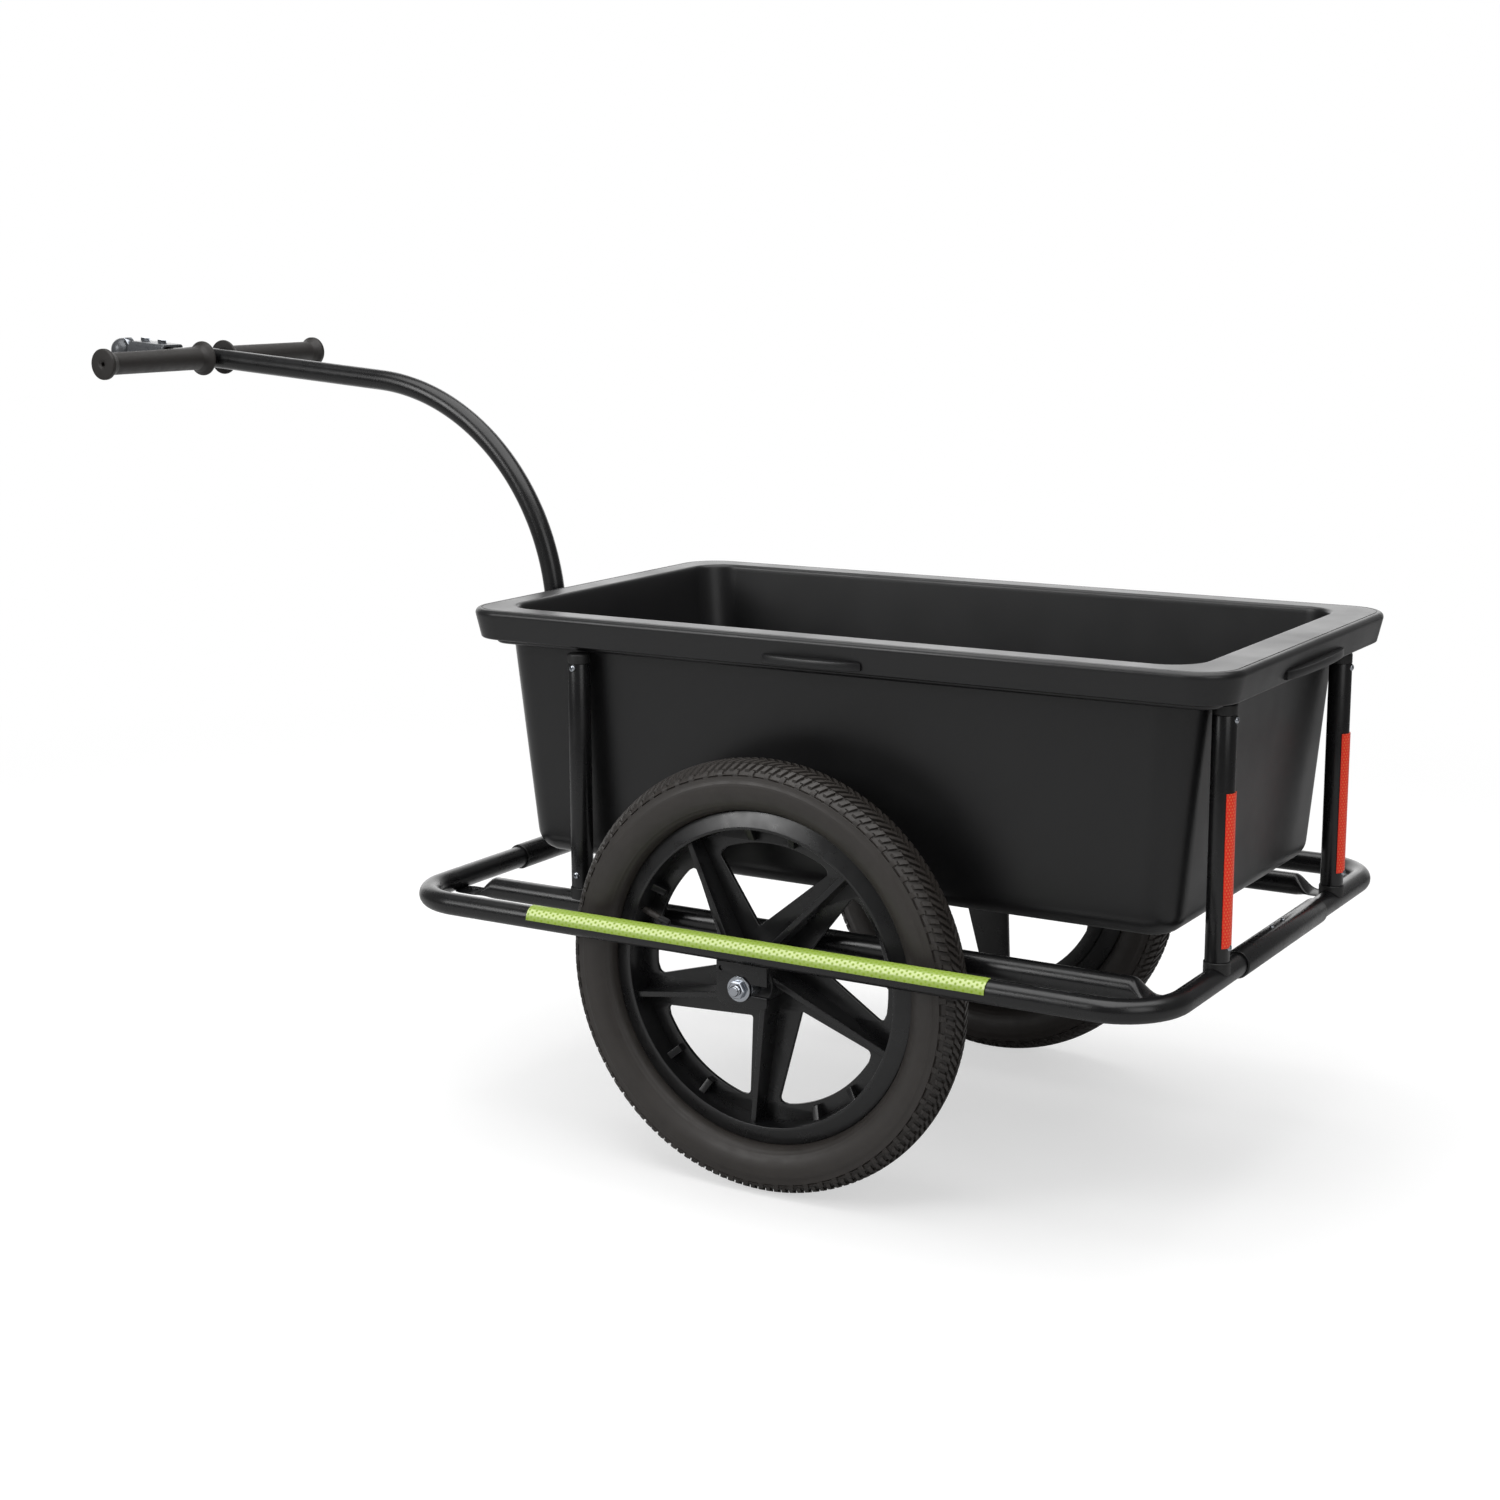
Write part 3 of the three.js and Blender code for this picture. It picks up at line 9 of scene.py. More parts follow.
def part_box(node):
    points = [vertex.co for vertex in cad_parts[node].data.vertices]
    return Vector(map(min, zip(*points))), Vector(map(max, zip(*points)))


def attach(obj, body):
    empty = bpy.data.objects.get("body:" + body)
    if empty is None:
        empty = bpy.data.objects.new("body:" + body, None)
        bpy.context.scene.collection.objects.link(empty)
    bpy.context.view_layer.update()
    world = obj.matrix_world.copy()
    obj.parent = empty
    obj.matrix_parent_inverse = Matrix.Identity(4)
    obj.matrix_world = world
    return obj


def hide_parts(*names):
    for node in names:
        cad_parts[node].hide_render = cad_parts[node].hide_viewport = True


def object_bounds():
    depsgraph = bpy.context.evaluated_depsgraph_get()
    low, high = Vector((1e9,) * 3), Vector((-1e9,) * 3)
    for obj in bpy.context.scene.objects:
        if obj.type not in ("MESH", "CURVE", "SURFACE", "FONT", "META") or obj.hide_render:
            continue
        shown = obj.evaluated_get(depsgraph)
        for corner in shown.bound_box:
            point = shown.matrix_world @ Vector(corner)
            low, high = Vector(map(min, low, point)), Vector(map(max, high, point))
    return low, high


bl_info = {
    "name": "Bike trailer",
    "version": (1, 0, 0),
    "blender": (4, 5, 0),
    "location": "3D View > Sidebar > Trailer",
    "description": "Dresses the packed frame of a bike trailer with its finished pieces",
    "category": "Object",
}

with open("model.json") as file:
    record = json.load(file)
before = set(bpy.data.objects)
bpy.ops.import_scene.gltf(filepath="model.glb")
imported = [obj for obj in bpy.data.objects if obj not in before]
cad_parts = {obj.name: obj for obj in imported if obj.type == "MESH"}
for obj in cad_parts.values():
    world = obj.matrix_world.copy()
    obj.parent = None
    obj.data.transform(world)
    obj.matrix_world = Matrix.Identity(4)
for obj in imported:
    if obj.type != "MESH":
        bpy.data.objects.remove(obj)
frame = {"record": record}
CAD_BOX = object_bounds()
MM = 0.001
# Pieces that touch stay this far apart, as in the solids
FIT = 0.3 * MM
UP = Vector((0, 0, 1))
# Towards the white backdrop, behind the trailer as the photograph sees it
BACKDROP_WAY = (0.52, -0.85, 0.0)
WHITE = (1, 1, 1, 1)
SIDES = {"left": 1, "right": -1}
TRIANGLE_SHARE = sqrt(3) / 2


def middle_of(node):
    low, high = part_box(node)
    return (low + high) / 2


def size_of(node):
    low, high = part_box(node)
    return high - low


# Places and sizes that are read from the frame
AXLE = middle_of("left_axle")
WHEEL = middle_of("left_tyre")
WHEEL_RADIUS = size_of("left_tyre").z / 2
TYRE_HALF_WIDTH = size_of("left_tyre").y / 2
TUBE_RADIUS = size_of("front_left_post").x / 2
RAIL_LOW, RAIL_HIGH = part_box("left_side_frame")
FRONT_X = RAIL_HIGH.x - TUBE_RADIUS
REAR_X = RAIL_LOW.x + TUBE_RADIUS
RAIL_Y = RAIL_HIGH.y - TUBE_RADIUS
RAIL_Z = (RAIL_LOW.z + RAIL_HIGH.z) / 2
INNER_LOW, INNER_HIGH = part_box("left_inner_rail")
INNER_Y = (INNER_LOW.y + INNER_HIGH.y) / 2
INNER_Z = INNER_LOW.z + TUBE_RADIUS
HANDLE = middle_of("left_grip")
TUB_LOW, TUB_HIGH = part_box("tub")
POSTS = ("front_left", "front_right", "rear_left", "rear_right")
SLOTS = {part["node"]: part["material_slot"] for part in frame["record"]["subparts"]}
BODIES = {
    node: body for body, nodes in frame["record"]["behaviour"]["bodies"].items() for node in nodes}


def length(name, millimetres, description):
    return bpy.props.FloatProperty(
        name=name, description=description, default=millimetres * MM, unit="LENGTH", precision=5)


def turn(name, degrees, description):
    return bpy.props.FloatProperty(
        name=name, description=description, default=radians(degrees), subtype="ANGLE")


def power(name, watts, description):
    return bpy.props.FloatProperty(name=name, description=description, default=watts, unit="POWER")


def hex_to_linear(code):
    """Turns an sRGB hex colour such as #1d1d1e into linear red, green and blue."""
    shades = [int(code[start:start + 2], 16) / 255 for start in (1, 3, 5)]
    return [s / 12.92 if s <= 0.04045 else ((s + 0.055) / 1.055) ** 2.4 for s in shades]


def colour(name, code, description):
    return bpy.props.FloatVectorProperty(
        name=name, description=description, default=hex_to_linear(code), size=3, min=0, max=1,
        subtype="COLOR")


def count(name, number, description):
    return bpy.props.IntProperty(name=name, description=description, default=number, min=3)


class TrailerFrameSizes(bpy.types.PropertyGroup):
    bend: length("Corner bend", 58, "Bend radius of the frame's corners, at the tube's middle")
    half_gap: length("Joint gap", 1, "Each half frame stops this far from the centre line")
    sides: count("Tube sides", 40, "Points round each tube")
    bend_steps: count("Bend steps", 14, "Sections in each bend")
    press: length("Press length", 20, "From the round inner rail to its flat tongue")
    tongue: length("Tongue thickness", 3, "Two tube walls pressed together")
    tongue_rise: length("Tongue rise", 3.2, "Tongue's underside above the underside of the inner rail")
    tongue_front: length("Front tongue", 30.7, "Flat end behind the middle of the front cross tube")
    tongue_rear: length("Rear tongue", 35.5, "Flat end ahead of the middle of the rear cross tube")
    tongue_gap: length("Tongue gap", 6.5, "The tongue ends this far short of the cross tube's middle")
    eyelet: length("Eyelet radius", 4, "Punched eyelet in each tongue, beside the cross tube")
    eyelet_inset: length("Eyelet inset", 22, "Eyelet's middle from the middle of the cross tube")
    rivet: length("Rivet radius", 2.4, "Head of each blind rivet in the sleeves")
    rivet_spacing: length("Rivet spacing", 30, "Between the two rivets of a sleeve")
    foot_flange: length("Foot flange", 6.5, "Lowest edge of a foot's flange below the top of its tube")
    screw: length("Screw head radius", 3.5, "Head of each post screw")
    screw_rise: length("Screw head height", 2.2, "How far a screw head stands off the post")
    screw_low: length("Lower screws", 12.8, "Lower screws above the post's foot")
    screw_high: length("Upper screws", 3.9, "Upper screws below the post's top")
    screw_drive: length("Screw drive", 1.6, "Half length of the cross recess's bars")
    edge: length("Edge", 0.8, "Rounding of cut and moulded edges")


class TrailerWheelSizes(bpy.types.PropertyGroup):
    sides: count("Wheel sides", 160, "Sections round each wheel")
    rim_half: length("Rim half width", 13, "Rim's front edge from the wheel's middle plane")
    flange: length("Flange radius", 159.2, "Outer edge of the rim's flange")
    flange_y: length("Flange place", 8.4, "Edge of the flange from the middle plane")
    seat: length("Bead seat radius", 152.5, "Where the tyre's beads sit")
    lip: length("Lip radius", 144.6, "Inner edge of the rim's face")
    barrel: length("Barrel radius", 140.2, "Inner side of the rim where it meets the web")
    web: length("Web thickness", 4.5, "Thickness of the plate with the windows")
    window_arc: length("Window arc", 125.5, "Radius of each window's outer edge")
    window_corner: length("Window corner radius", 123.2, "Radius of the windows' outer corners")
    window_point: length("Window point", 46.5, "Inner point of each window from the axle")
    window_fillet: length("Window fillet", 6.6, "Rounding of the windows' outer corners")
    window_half: turn("Window half angle", 28.7, "Outer corners to each side of a window's middle")
    window_lean: turn("Window lean", 15.7, "How far the inner point is turned from the middle")
    window_start: turn("First window", -2.7, "Middle of the first window from straight up")
    windows: count("Windows", 5, "Windows and spokes of a wheel")
    rib_turn: turn("Rib angle", 27.6, "First rib from straight up")
    rib_offset: length("Rib offset", 12.4, "The ribs pass beside the axle by this much")
    rib: length("Rib thickness", 5.5, "Thickness of each spoke's rib")
    rib_rim_y: length("Rib at the rim", 8.5, "Front edge of a rib where it meets the rim")
    rib_hub_y: length("Rib at the hub", 20, "Front edge of a rib at the hub")
    gusset_turn: turn("Gusset angle", 9.5, "Gussets to each side of a window's middle")
    gusset: length("Gusset width", 6.6, "Width of each gusset between web and rim")
    gusset_inner: length("Gusset start", 129, "Inner end of each gusset")
    gusset_y: length("Gusset height", 3.5, "Front face of each gusset where it meets the rim")
    gusset_lean: turn("Gusset lean", 26, "How far a gusset's front face slopes back towards the web")
    hub: length("Hub radius", 21.5, "Outer radius of the hub")
    hub_half: length("Hub half width", 22, "End of the hub from the middle plane")
    hub_bore: length("Hub bore", 10.4, "Bore for the bearing bush")
    valve_turn: turn("Valve angle", 70.5, "Valve from straight up")
    valve: length("Valve radius", 3.2, "Rubber stem of the valve")
    valve_tip: length("Valve tip", 111, "Tip of the valve from the axle")
    edge: length("Moulded edge", 0.9, "Rounding of the moulded edges")
    thin_nut: length("Thin nut", 2, "The outer nut is thinner than its solid by this much")


class TrailerTyreSizes(bpy.types.PropertyGroup):
    lug_rows: count("Lug rows", 150, "Rows of tread lugs round the tyre")
    lug: length("Lug height", 2.6, "How far the lugs stand off the casing")
    thread_line: length("Moulded line", 0.45, "Height of the fine rings on the side wall")
    shoulder: length("Shoulder line", 194.6, "Radius of the groove that ends the side wall")
    shoulder_depth: length("Shoulder depth", 1.3, "Depth of that groove")


class TrailerTubSizes(bpy.types.PropertyGroup):
    corner_steps: count("Corner steps", 12, "Sections in each rounded corner")
    rim_corner: length("Rim corner", 42, "Corner radius of the rim seen from above")
    rim_half: length("Rim half width", 225, "Outer face of the rim from the centre line")
    mouth_front: length("Front rim width", 32.6, "Width of the rim across the front")
    mouth_rear: length("Rear rim width", 45, "Width of the rim across the rear")
    mouth_side: length("Side rim width", 32.5, "Width of the rim along the sides")
    mouth_corner: length("Mouth corner", 34, "Corner radius of the mouth")
    floor_front: length("Front draft", 50.6, "Floor's front edge behind the rim's face")
    floor_rear: length("Rear draft", 59.5, "Floor's rear edge ahead of the rim's face")
    floor_side: length("Side draft", 39.5, "Floor's side edges inside the rim's faces")
    floor_corner: length("Floor corner", 32, "Corner radius of the floor")
    floor_fillet: length("Floor fillet", 20, "Rounding between floor and walls")
    wall: length("Wall", 4, "Thickness of walls and floor")
    rim_drop: length("Rim height", 29.7, "Height of the rim's outer face")
    rim_lean: length("Rim lean", 5, "How far the rim's face draws in downwards")
    rim_edge: length("Rim edge", 5, "Rounding of the rim's top edge")
    rim_inner_edge: length("Mouth edge", 4, "Rounding of the mouth's edge")
    bead: length("Rim bead", 0.6, "Depth of the fine line along the rim's top")
    step_inset: length("Step inset", 20.4, "Step under the rim, in from its face")
    step_drop: length("Step drop", 6.1, "Step under the rim, below its lower edge")
    step_edge: length("Step edge", 4, "Rounding of the step's lower edge")
    skirt: length("Skirt", 4.5, "Thickness of the rim's outer skirt")
    side_ledge: length("Side hand-hold", 103, "Length of the side hand-holds")
    rear_ledge: length("Rear hand-hold", 153, "Length of the front and rear hand-holds")
    ledge_reach: length("Hand-hold reach", 8, "How far a hand-hold stands off the rim's face")
    ledge_top: length("Hand-hold drop", 18, "Hand-hold's top below the rim's top")
    ledge: length("Hand-hold thickness", 8, "Height of a hand-hold's edge")


class TrailerTowBarSizes(bpy.types.PropertyGroup):
    lean: turn("Lean", 4.5, "The bar's foot leans forward and its top rises forward by this angle")
    bend: length("Bend", 250, "Radius of the goose neck")
    foot: length("Foot", 14.5, "Lower end of the bar above the middle of the sleeve")
    steps: count("Bend steps", 48, "Sections in the goose neck")
    socket: length("Socket height", 80, "Length of the socket on the front sleeve")
    socket_wall: length("Socket wall", 3, "Thickness of the socket")
    press_start: length("Press start", 18, "Round part ends this far past the handle")
    press_end: length("Press end", 60, "Pressed part starts this far past the handle")
    tip: length("Bar tip", 112, "End of the bar past the handle")
    pressed_half: length("Pressed half height", 6, "Half height of the pressed end")
    bolt_rise: length("Cross bolt", 42, "Cross bolt above the middle of the sleeve")
    bolt_head: length("Cross bolt head", 7.5, "Head of the cross bolt, half across its corners")
    handle: length("Handle tube", 10, "Radius of the handle's stub tubes")
    grip: length("Grip radius", 12.6, "Grip beside its inner flange")
    grip_end: length("Grip end radius", 12.2, "Grip beside its outer flange")
    grip_outer: length("Outer flange", 17, "Radius of the grip's outer flange")
    grip_hole: length("Grip hole", 2.4, "Radius of the hole in the grip's end")
    grip_edge: length("Flange edge", 1.2, "Thickness of the flanges at their edge")


class TrailerCouplingSizes(bpy.types.PropertyGroup):
    plate_start: length("Plate start", 63, "Rear edge of the plate past the handle")
    plate_end: length("Plate end", 119, "Front edge of the plate past the handle")
    plate_wall: length("Plate wall", 2.5, "Thickness of the folded plate")
    plate_skirt: length("Plate skirt", 8, "Side walls below the bar's middle")
    plate_nose: length("Plate nose", 6, "Rounding of the plate's corners")
    bolt_rear: length("Rear bolt", 79.5, "Rear bolt past the handle")
    bolt_front: length("Front bolt", 106, "Front bolt past the handle")
    bolt_head: length("Bolt head", 5.8, "Half across the corners of the bolt heads")
    bolt_height: length("Bolt head height", 3.9, "Height of the bolt heads")
    dome_at: length("Dome", 142.4, "Middle of the ball cup past the handle")
    dome_rise: length("Dome rise", -4.4, "Ball's middle above the bar's middle")
    dome: length("Dome radius", 13.5, "Outside of the ball cup")
    dome_wall: length("Dome wall", 2.9, "Thickness of the ball cup")
    arm: length("Strap thickness", 4, "Thickness of the strap under the bar")
    arm_half: length("Strap half width", 11, "Half width of the strap")
    arm_start: length("Strap start", 68, "Rear end of the strap past the handle")
    edge: length("Edge", 0.8, "Rounding of pressed edges")


class TrailerFilmSizes(bpy.types.PropertyGroup):
    thickness: length("Film thickness", 0.8, "Film with its glue")
    lime_cell: length("Lime cell", 4.7, "Between the middles of the honeycomb's cells on the lime film")
    lime_band: length(
        "Lime band", 4.2, "The lime honeycomb is plain to see this far from the strip's middle")
    red_cell: length("Red cell", 3.2, "Between the pale dots on the red film")
    red_band: length("Red band", 12, "The red film's dots are plain to see this far from its middle")
    lime_low: turn("Lime lower edge", 0, "Lower edge of the lime film above the rail's middle")
    lime_high: turn("Lime upper edge", 100, "Upper edge of the lime film, past the rail's top")
    lime_middle: turn("Lime middle", 40, "Middle of the lime film's honeycomb above the rail's middle")
    red_half: turn("Red half angle", 52, "Half of the angle that the red film wraps")


class TrailerFinishes(bpy.types.PropertyGroup):
    powder_coat: colour("Powder coat", "#101011", "Black powder coat on the steel tubes")
    tub: colour("Tub", "#131314", "Black moulded tub")
    fitting: colour("Fittings", "#151515", "Black moulded feet and caps")
    wheel: colour("Wheels", "#131314", "Black moulded wheels")
    tyre: colour("Tyre", "#2e2a27", "Brown-black tyre rubber")
    grip: colour("Grip", "#1f1c1a", "Brown-black grip rubber")
    zinc: colour("Zinc plate", "#a9adb3", "Bright zinc plate on bolts, nuts and screws")
    coupling: colour("Coupling", "#56585b", "Grey coupling")
    spring: colour("Spring", "#9da1a6", "Drawn spring wire")
    bush: colour("Bush", "#d8d5cb", "Natural bearing plastic")
    lime: colour("Lime film", "#88a620", "Ground colour of the lime film")
    lime_line: colour("Lime line", "#cfdf98", "Cell borders of the lime film")
    red: colour("Red film", "#f82c10", "Ground colour of the red film")
    red_line: colour("Red line", "#ff7644", "Cell borders of the red film")
    floor: colour("Floor", "#b8b8b8", "Pale studio floor")


class TrailerStudio(bpy.types.PropertyGroup):
    camera_x: length("Camera X", -1462.63, "Camera along the trailer")
    camera_y: length("Camera Y", 2182.7, "Camera across the trailer")
    camera_z: length("Camera Z", 881.8, "Camera above the ground")
    heading: turn("Heading", -58.685, "Direction of view, turned from +X towards +Y")
    dip: turn("Dip", 11.51, "How far the view looks down")
    roll: turn("Roll", -0.30, "Turn of the picture about the line of sight")
    lens: bpy.props.FloatProperty(
        name="Lens", description="Focal length on a 36 mm sensor", default=60.47, unit="CAMERA")
    world: bpy.props.FloatProperty(
        name="Surroundings", description="Strength of the light from all round", default=0.19)
    top: power("Top light", 88, "Power of the soft box overhead")
    back: power("Back light", 31, "Power of the panel behind the trailer")
    side: power("Side light", 14, "Power of the soft box beside the camera")
    front: power("Front light", 42, "Power of the soft box off the wheel's front")


# Steps and curves

def turns(count):
    """So many even steps of angle round a full circle."""
    return [2 * pi * k / count for k in range(count)]


def shares(steps):
    """Even shares from 0 to 1, with both ends."""
    return [step / steps for step in range(steps + 1)]


def between(start, end, share):
    return start + (end - start) * share


def eased(share):
    """A share that starts and stops gently."""
    return share * share * (3 - 2 * share)


def quarter(steps):
    """Steps round a quarter circle: how far each has risen, and how far off the wall it still is."""
    return [(1 - cos(pi / 2 * share), 1 - sin(pi / 2 * share)) for share in shares(steps)]


def circle(radius, sides):
    return [(radius * cos(angle), radius * sin(angle)) for angle in turns(sides)]


def scaled(size, corners):
    return [tuple(size * part for part in corner) for corner in corners]


def filleted(corners, steps=5):
    """A closed outline from (x, y, radius) corners, with an arc at each corner that has a radius."""
    outline = []
    for k, (x, y, radius) in enumerate(corners):
        corner = Vector((x, y))
        before = Vector(corners[k - 1][:2]) - corner
        after = Vector(corners[(k + 1) % len(corners)][:2]) - corner
        half = before.angle(after) / 2
        if radius == 0 or half > radians(89.5):
            outline.append((x, y))
            continue
        reach = min(radius / tan(half), 0.49 * min(before.length, after.length))
        rounding = reach * tan(half)
        way = (before.normalized() + after.normalized()).normalized()
        centre = corner + way * rounding / sin(half)
        first = corner + before.normalized() * reach - centre
        last = corner + after.normalized() * reach - centre
        start = atan2(first.y, first.x)
        sweep = remainder(atan2(last.y, last.x) - start, 2 * pi)
        for share in shares(steps):
            angle = start + sweep * share
            outline.append((centre.x + rounding * cos(angle), centre.y + rounding * sin(angle)))
    return outline


def bent_line(corners, bend, steps):
    """Points along straight runs with an arc at each corner, each with its direction."""
    corners = [Vector(corner) for corner in corners]
    line = [(corners[0], (corners[1] - corners[0]).normalized())]
    for before, corner, after in zip(corners, corners[1:], corners[2:]):
        way = (corner - before).normalized()
        on = (after - corner).normalized()
        sweep = way.angle(on)
        side = (on - way * way.dot(on)).normalized()
        start = corner - way * bend * tan(sweep / 2)
        centre = start + side * bend
        for share in shares(steps):
            angle = sweep * share
            point = centre - side * bend * cos(angle) + way * bend * sin(angle)
            line.append((point, way * cos(angle) + side * sin(angle)))
    line.append((corners[-1], (corners[-1] - corners[-2]).normalized()))
    return line


def smooth_line(points, steps):
    """A smooth line through flat points, with so many steps in each span."""
    line = []
    ends = [points[0], *points, points[-1]]
    for k in range(1, len(ends) - 2):
        a, b, c, d = (Vector(ends[k + step]) for step in (-1, 0, 1, 2))
        slope, bow, twist = c - a, 2 * a - 5 * b + 4 * c - d, 3 * b - a - 3 * c + d
        for t in shares(steps)[:-1]:
            line.append(tuple(0.5 * (2 * b + slope * t + bow * t ** 2 + twist * t ** 3)))
    return line + [tuple(points[-1])]


def tube_rings(line, up, sides):
    """Round sections of the frame's tube along a line that stays in the plane square to up."""
    rings = []
    for point, direction in line:
        side = up.cross(direction).normalized()
        rings.append([point + side * x + up * y for x, y in circle(TUBE_RADIUS, sides)])
    return rings


def saddle(off, reach):
    """Height over a tube's middle at which a saddle meets it, so far off to the side."""
    return sqrt(max(reach ** 2 - off ** 2, 0.0))


# Places

def about_y(angle):
    return Matrix.Rotation(angle, 4, "Y")


def about_z(angle):
    return Matrix.Rotation(angle, 4, "Z")


def shift(x, y, z):
    return Matrix.Translation((x, y, z))


def axis_matrix(place, axis):
    """Puts a shape that was turned round the Y axis at a place, with Y along another axis."""
    return Matrix.Translation(place) @ Vector((0, 1, 0)).rotation_difference(axis).to_matrix().to_4x4()


def upright_at(node):
    """Stands a shape that was turned round the Y axis upright at a node's place, from the ground."""
    middle = middle_of(node)
    return axis_matrix((middle.x, middle.y, 0), UP)


def axle_stand(side, out=0.0):
    """Puts a shape made round the left axle so far out on it, or turns it round for the right one."""
    return shift(AXLE.x, 0, AXLE.z) @ about_z(0 if side > 0 else pi) @ shift(0, out, 0)


# Making meshes

class Shape:
    """Points and faces of a piece while it is being made."""

    def __init__(self):
        self.points = []
        self.faces = []

    def add(self, points, faces):
        start = len(self.points)
        self.points += [Vector(point) for point in points]
        self.faces += [[start + index for index in face] for face in faces]
        return self

    def loft(self, rings, closed=False):
        """Skins a list of rings that have as many points each."""
        across, rows = len(rings[0]), len(rings)
        faces = []
        for row in range(rows if closed else rows - 1):
            here, there = row * across, (row + 1) % rows * across
            for k in range(across):
                after = (k + 1) % across
                faces.append((here + k, here + after, there + after, there + k))
        if not closed:
            faces.append(tuple(reversed(range(across))))
            faces.append(tuple(range((rows - 1) * across, rows * across)))
        return self.add([point for ring in rings for point in ring], faces)

    def turned(self, profile, sides):
        """Turns a closed profile of (radius, place) round the Y axis."""
        rings = []
        for angle in turns(sides):
            rings.append([(r * sin(angle), place, r * cos(angle)) for r, place in profile])
        return self.loft(rings, closed=True)

    def join(self, other):
        return self.add(other.points, other.faces)

    def moved(self, matrix):
        self.points = [matrix @ point for point in self.points]
        return self


def lathe(sides, steps, *corners):
    """A profile of (radius, place, rounding) corners turned round the Y axis."""
    return Shape().turned(filleted(corners, steps), sides)


def collar(sides, steps, inner, outer, low, high, edges):
    """A ring round the Y axis from low to high, with its four edges rounded in turn."""
    return lathe(sides, steps, *zip((inner, outer, outer, inner), (low, low, high, high), edges))


def finish_mesh(name, shape, crease=32):
    """Makes a clean mesh from a shape, smooth but for edges sharper than the crease angle."""
    mesh = bpy.data.meshes.new(name)
    mesh.from_pydata(shape.points, [], shape.faces)
    work = bmesh.new()
    work.from_mesh(mesh)
    bmesh.ops.remove_doubles(work, verts=work.verts, dist=0.005 * MM)
    bmesh.ops.dissolve_degenerate(work, edges=work.edges, dist=0.005 * MM)
    bmesh.ops.recalc_face_normals(work, faces=work.faces)
    work.to_mesh(mesh)
    work.free()
    mesh.shade_smooth()
    mesh.set_sharp_from_angle(angle=radians(crease))
    return mesh


def loose_piece(name, shape, finish, body, slot, crease=32):
    """Links a finished piece that stands for no node, on a body. The slot argument is not used."""
    piece = bpy.data.objects.new(name, finish_mesh(name, shape, crease))
    bpy.context.scene.collection.objects.link(piece)
    piece.data.materials.append(material_for(finish))
    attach(piece, body)
    return piece


def make_piece(name, shape, finish, node, crease=32):
    """Links a finished piece that stands for a node, on its body, and hides that node."""
    piece = loose_piece(name, shape, finish, BODIES[node], SLOTS[node], crease)
    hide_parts(node)
    return piece


def signed_area(loop):
    pairs = zip(loop, list(loop[1:]) + [loop[0]])
    return sum(a[0] * b[1] - b[0] * a[1] for a, b in pairs) / 2


def plate(loops, low, high, edge):
    """A plate drawn in X and Z, from low to high along Y, with its edges rounded."""
    # The outer outline runs one way round, and the holes run the other
    loops = [
        loop if (signed_area(loop) > 0) == (index == 0) else loop[::-1]
        for index, loop in enumerate(loops)]
    drawing = bpy.data.curves.new("plate outline", "CURVE")
    drawing.dimensions = "2D"
    drawing.fill_mode = "BOTH"
    drawing.extrude = (high - low) / 2 - edge
    drawing.bevel_depth = edge
    drawing.bevel_resolution = 2
    drawing.offset = -edge
    for loop in loops:
        spline = drawing.splines.new("POLY")
        spline.points.add(len(loop) - 1)
        for point, (x, z) in zip(spline.points, loop):
            point.co = (x, z, 0, 1)
        spline.use_cyclic_u = True
    holder = bpy.data.objects.new("plate outline", drawing)
    mesh = bpy.data.meshes.new_from_object(holder)
    shape = Shape().add([v.co for v in mesh.vertices], [list(p.vertices) for p in mesh.polygons])
    bpy.data.objects.remove(holder)
    bpy.data.meshes.remove(mesh)
    bpy.data.curves.remove(drawing)
    stand = Matrix(((1, 0, 0, 0), (0, 0, -1, (low + high) / 2), (0, 1, 0, 0), (0, 0, 0, 1)))
    return shape.moved(stand)


def hex_head(corner, low, high, bore=0.0):
    """A hexagon round the Y axis whose corners a turned chamfer has cut back at both ends."""
    cut = 0.07
    levels = [(1 - cut, low), (1, low + cut * corner), (1, high - cut * corner), (1 - cut, high)]
    rings = [[(x, place, z) for x, z in circle(corner * scale, 6)] for scale, place in levels]
    if bore:
        rings += [[(x, place, z) for x, z in circle(bore, 6)] for place in (high, low)]
    return Shape().loft(rings, closed=bore > 0)


# Materials

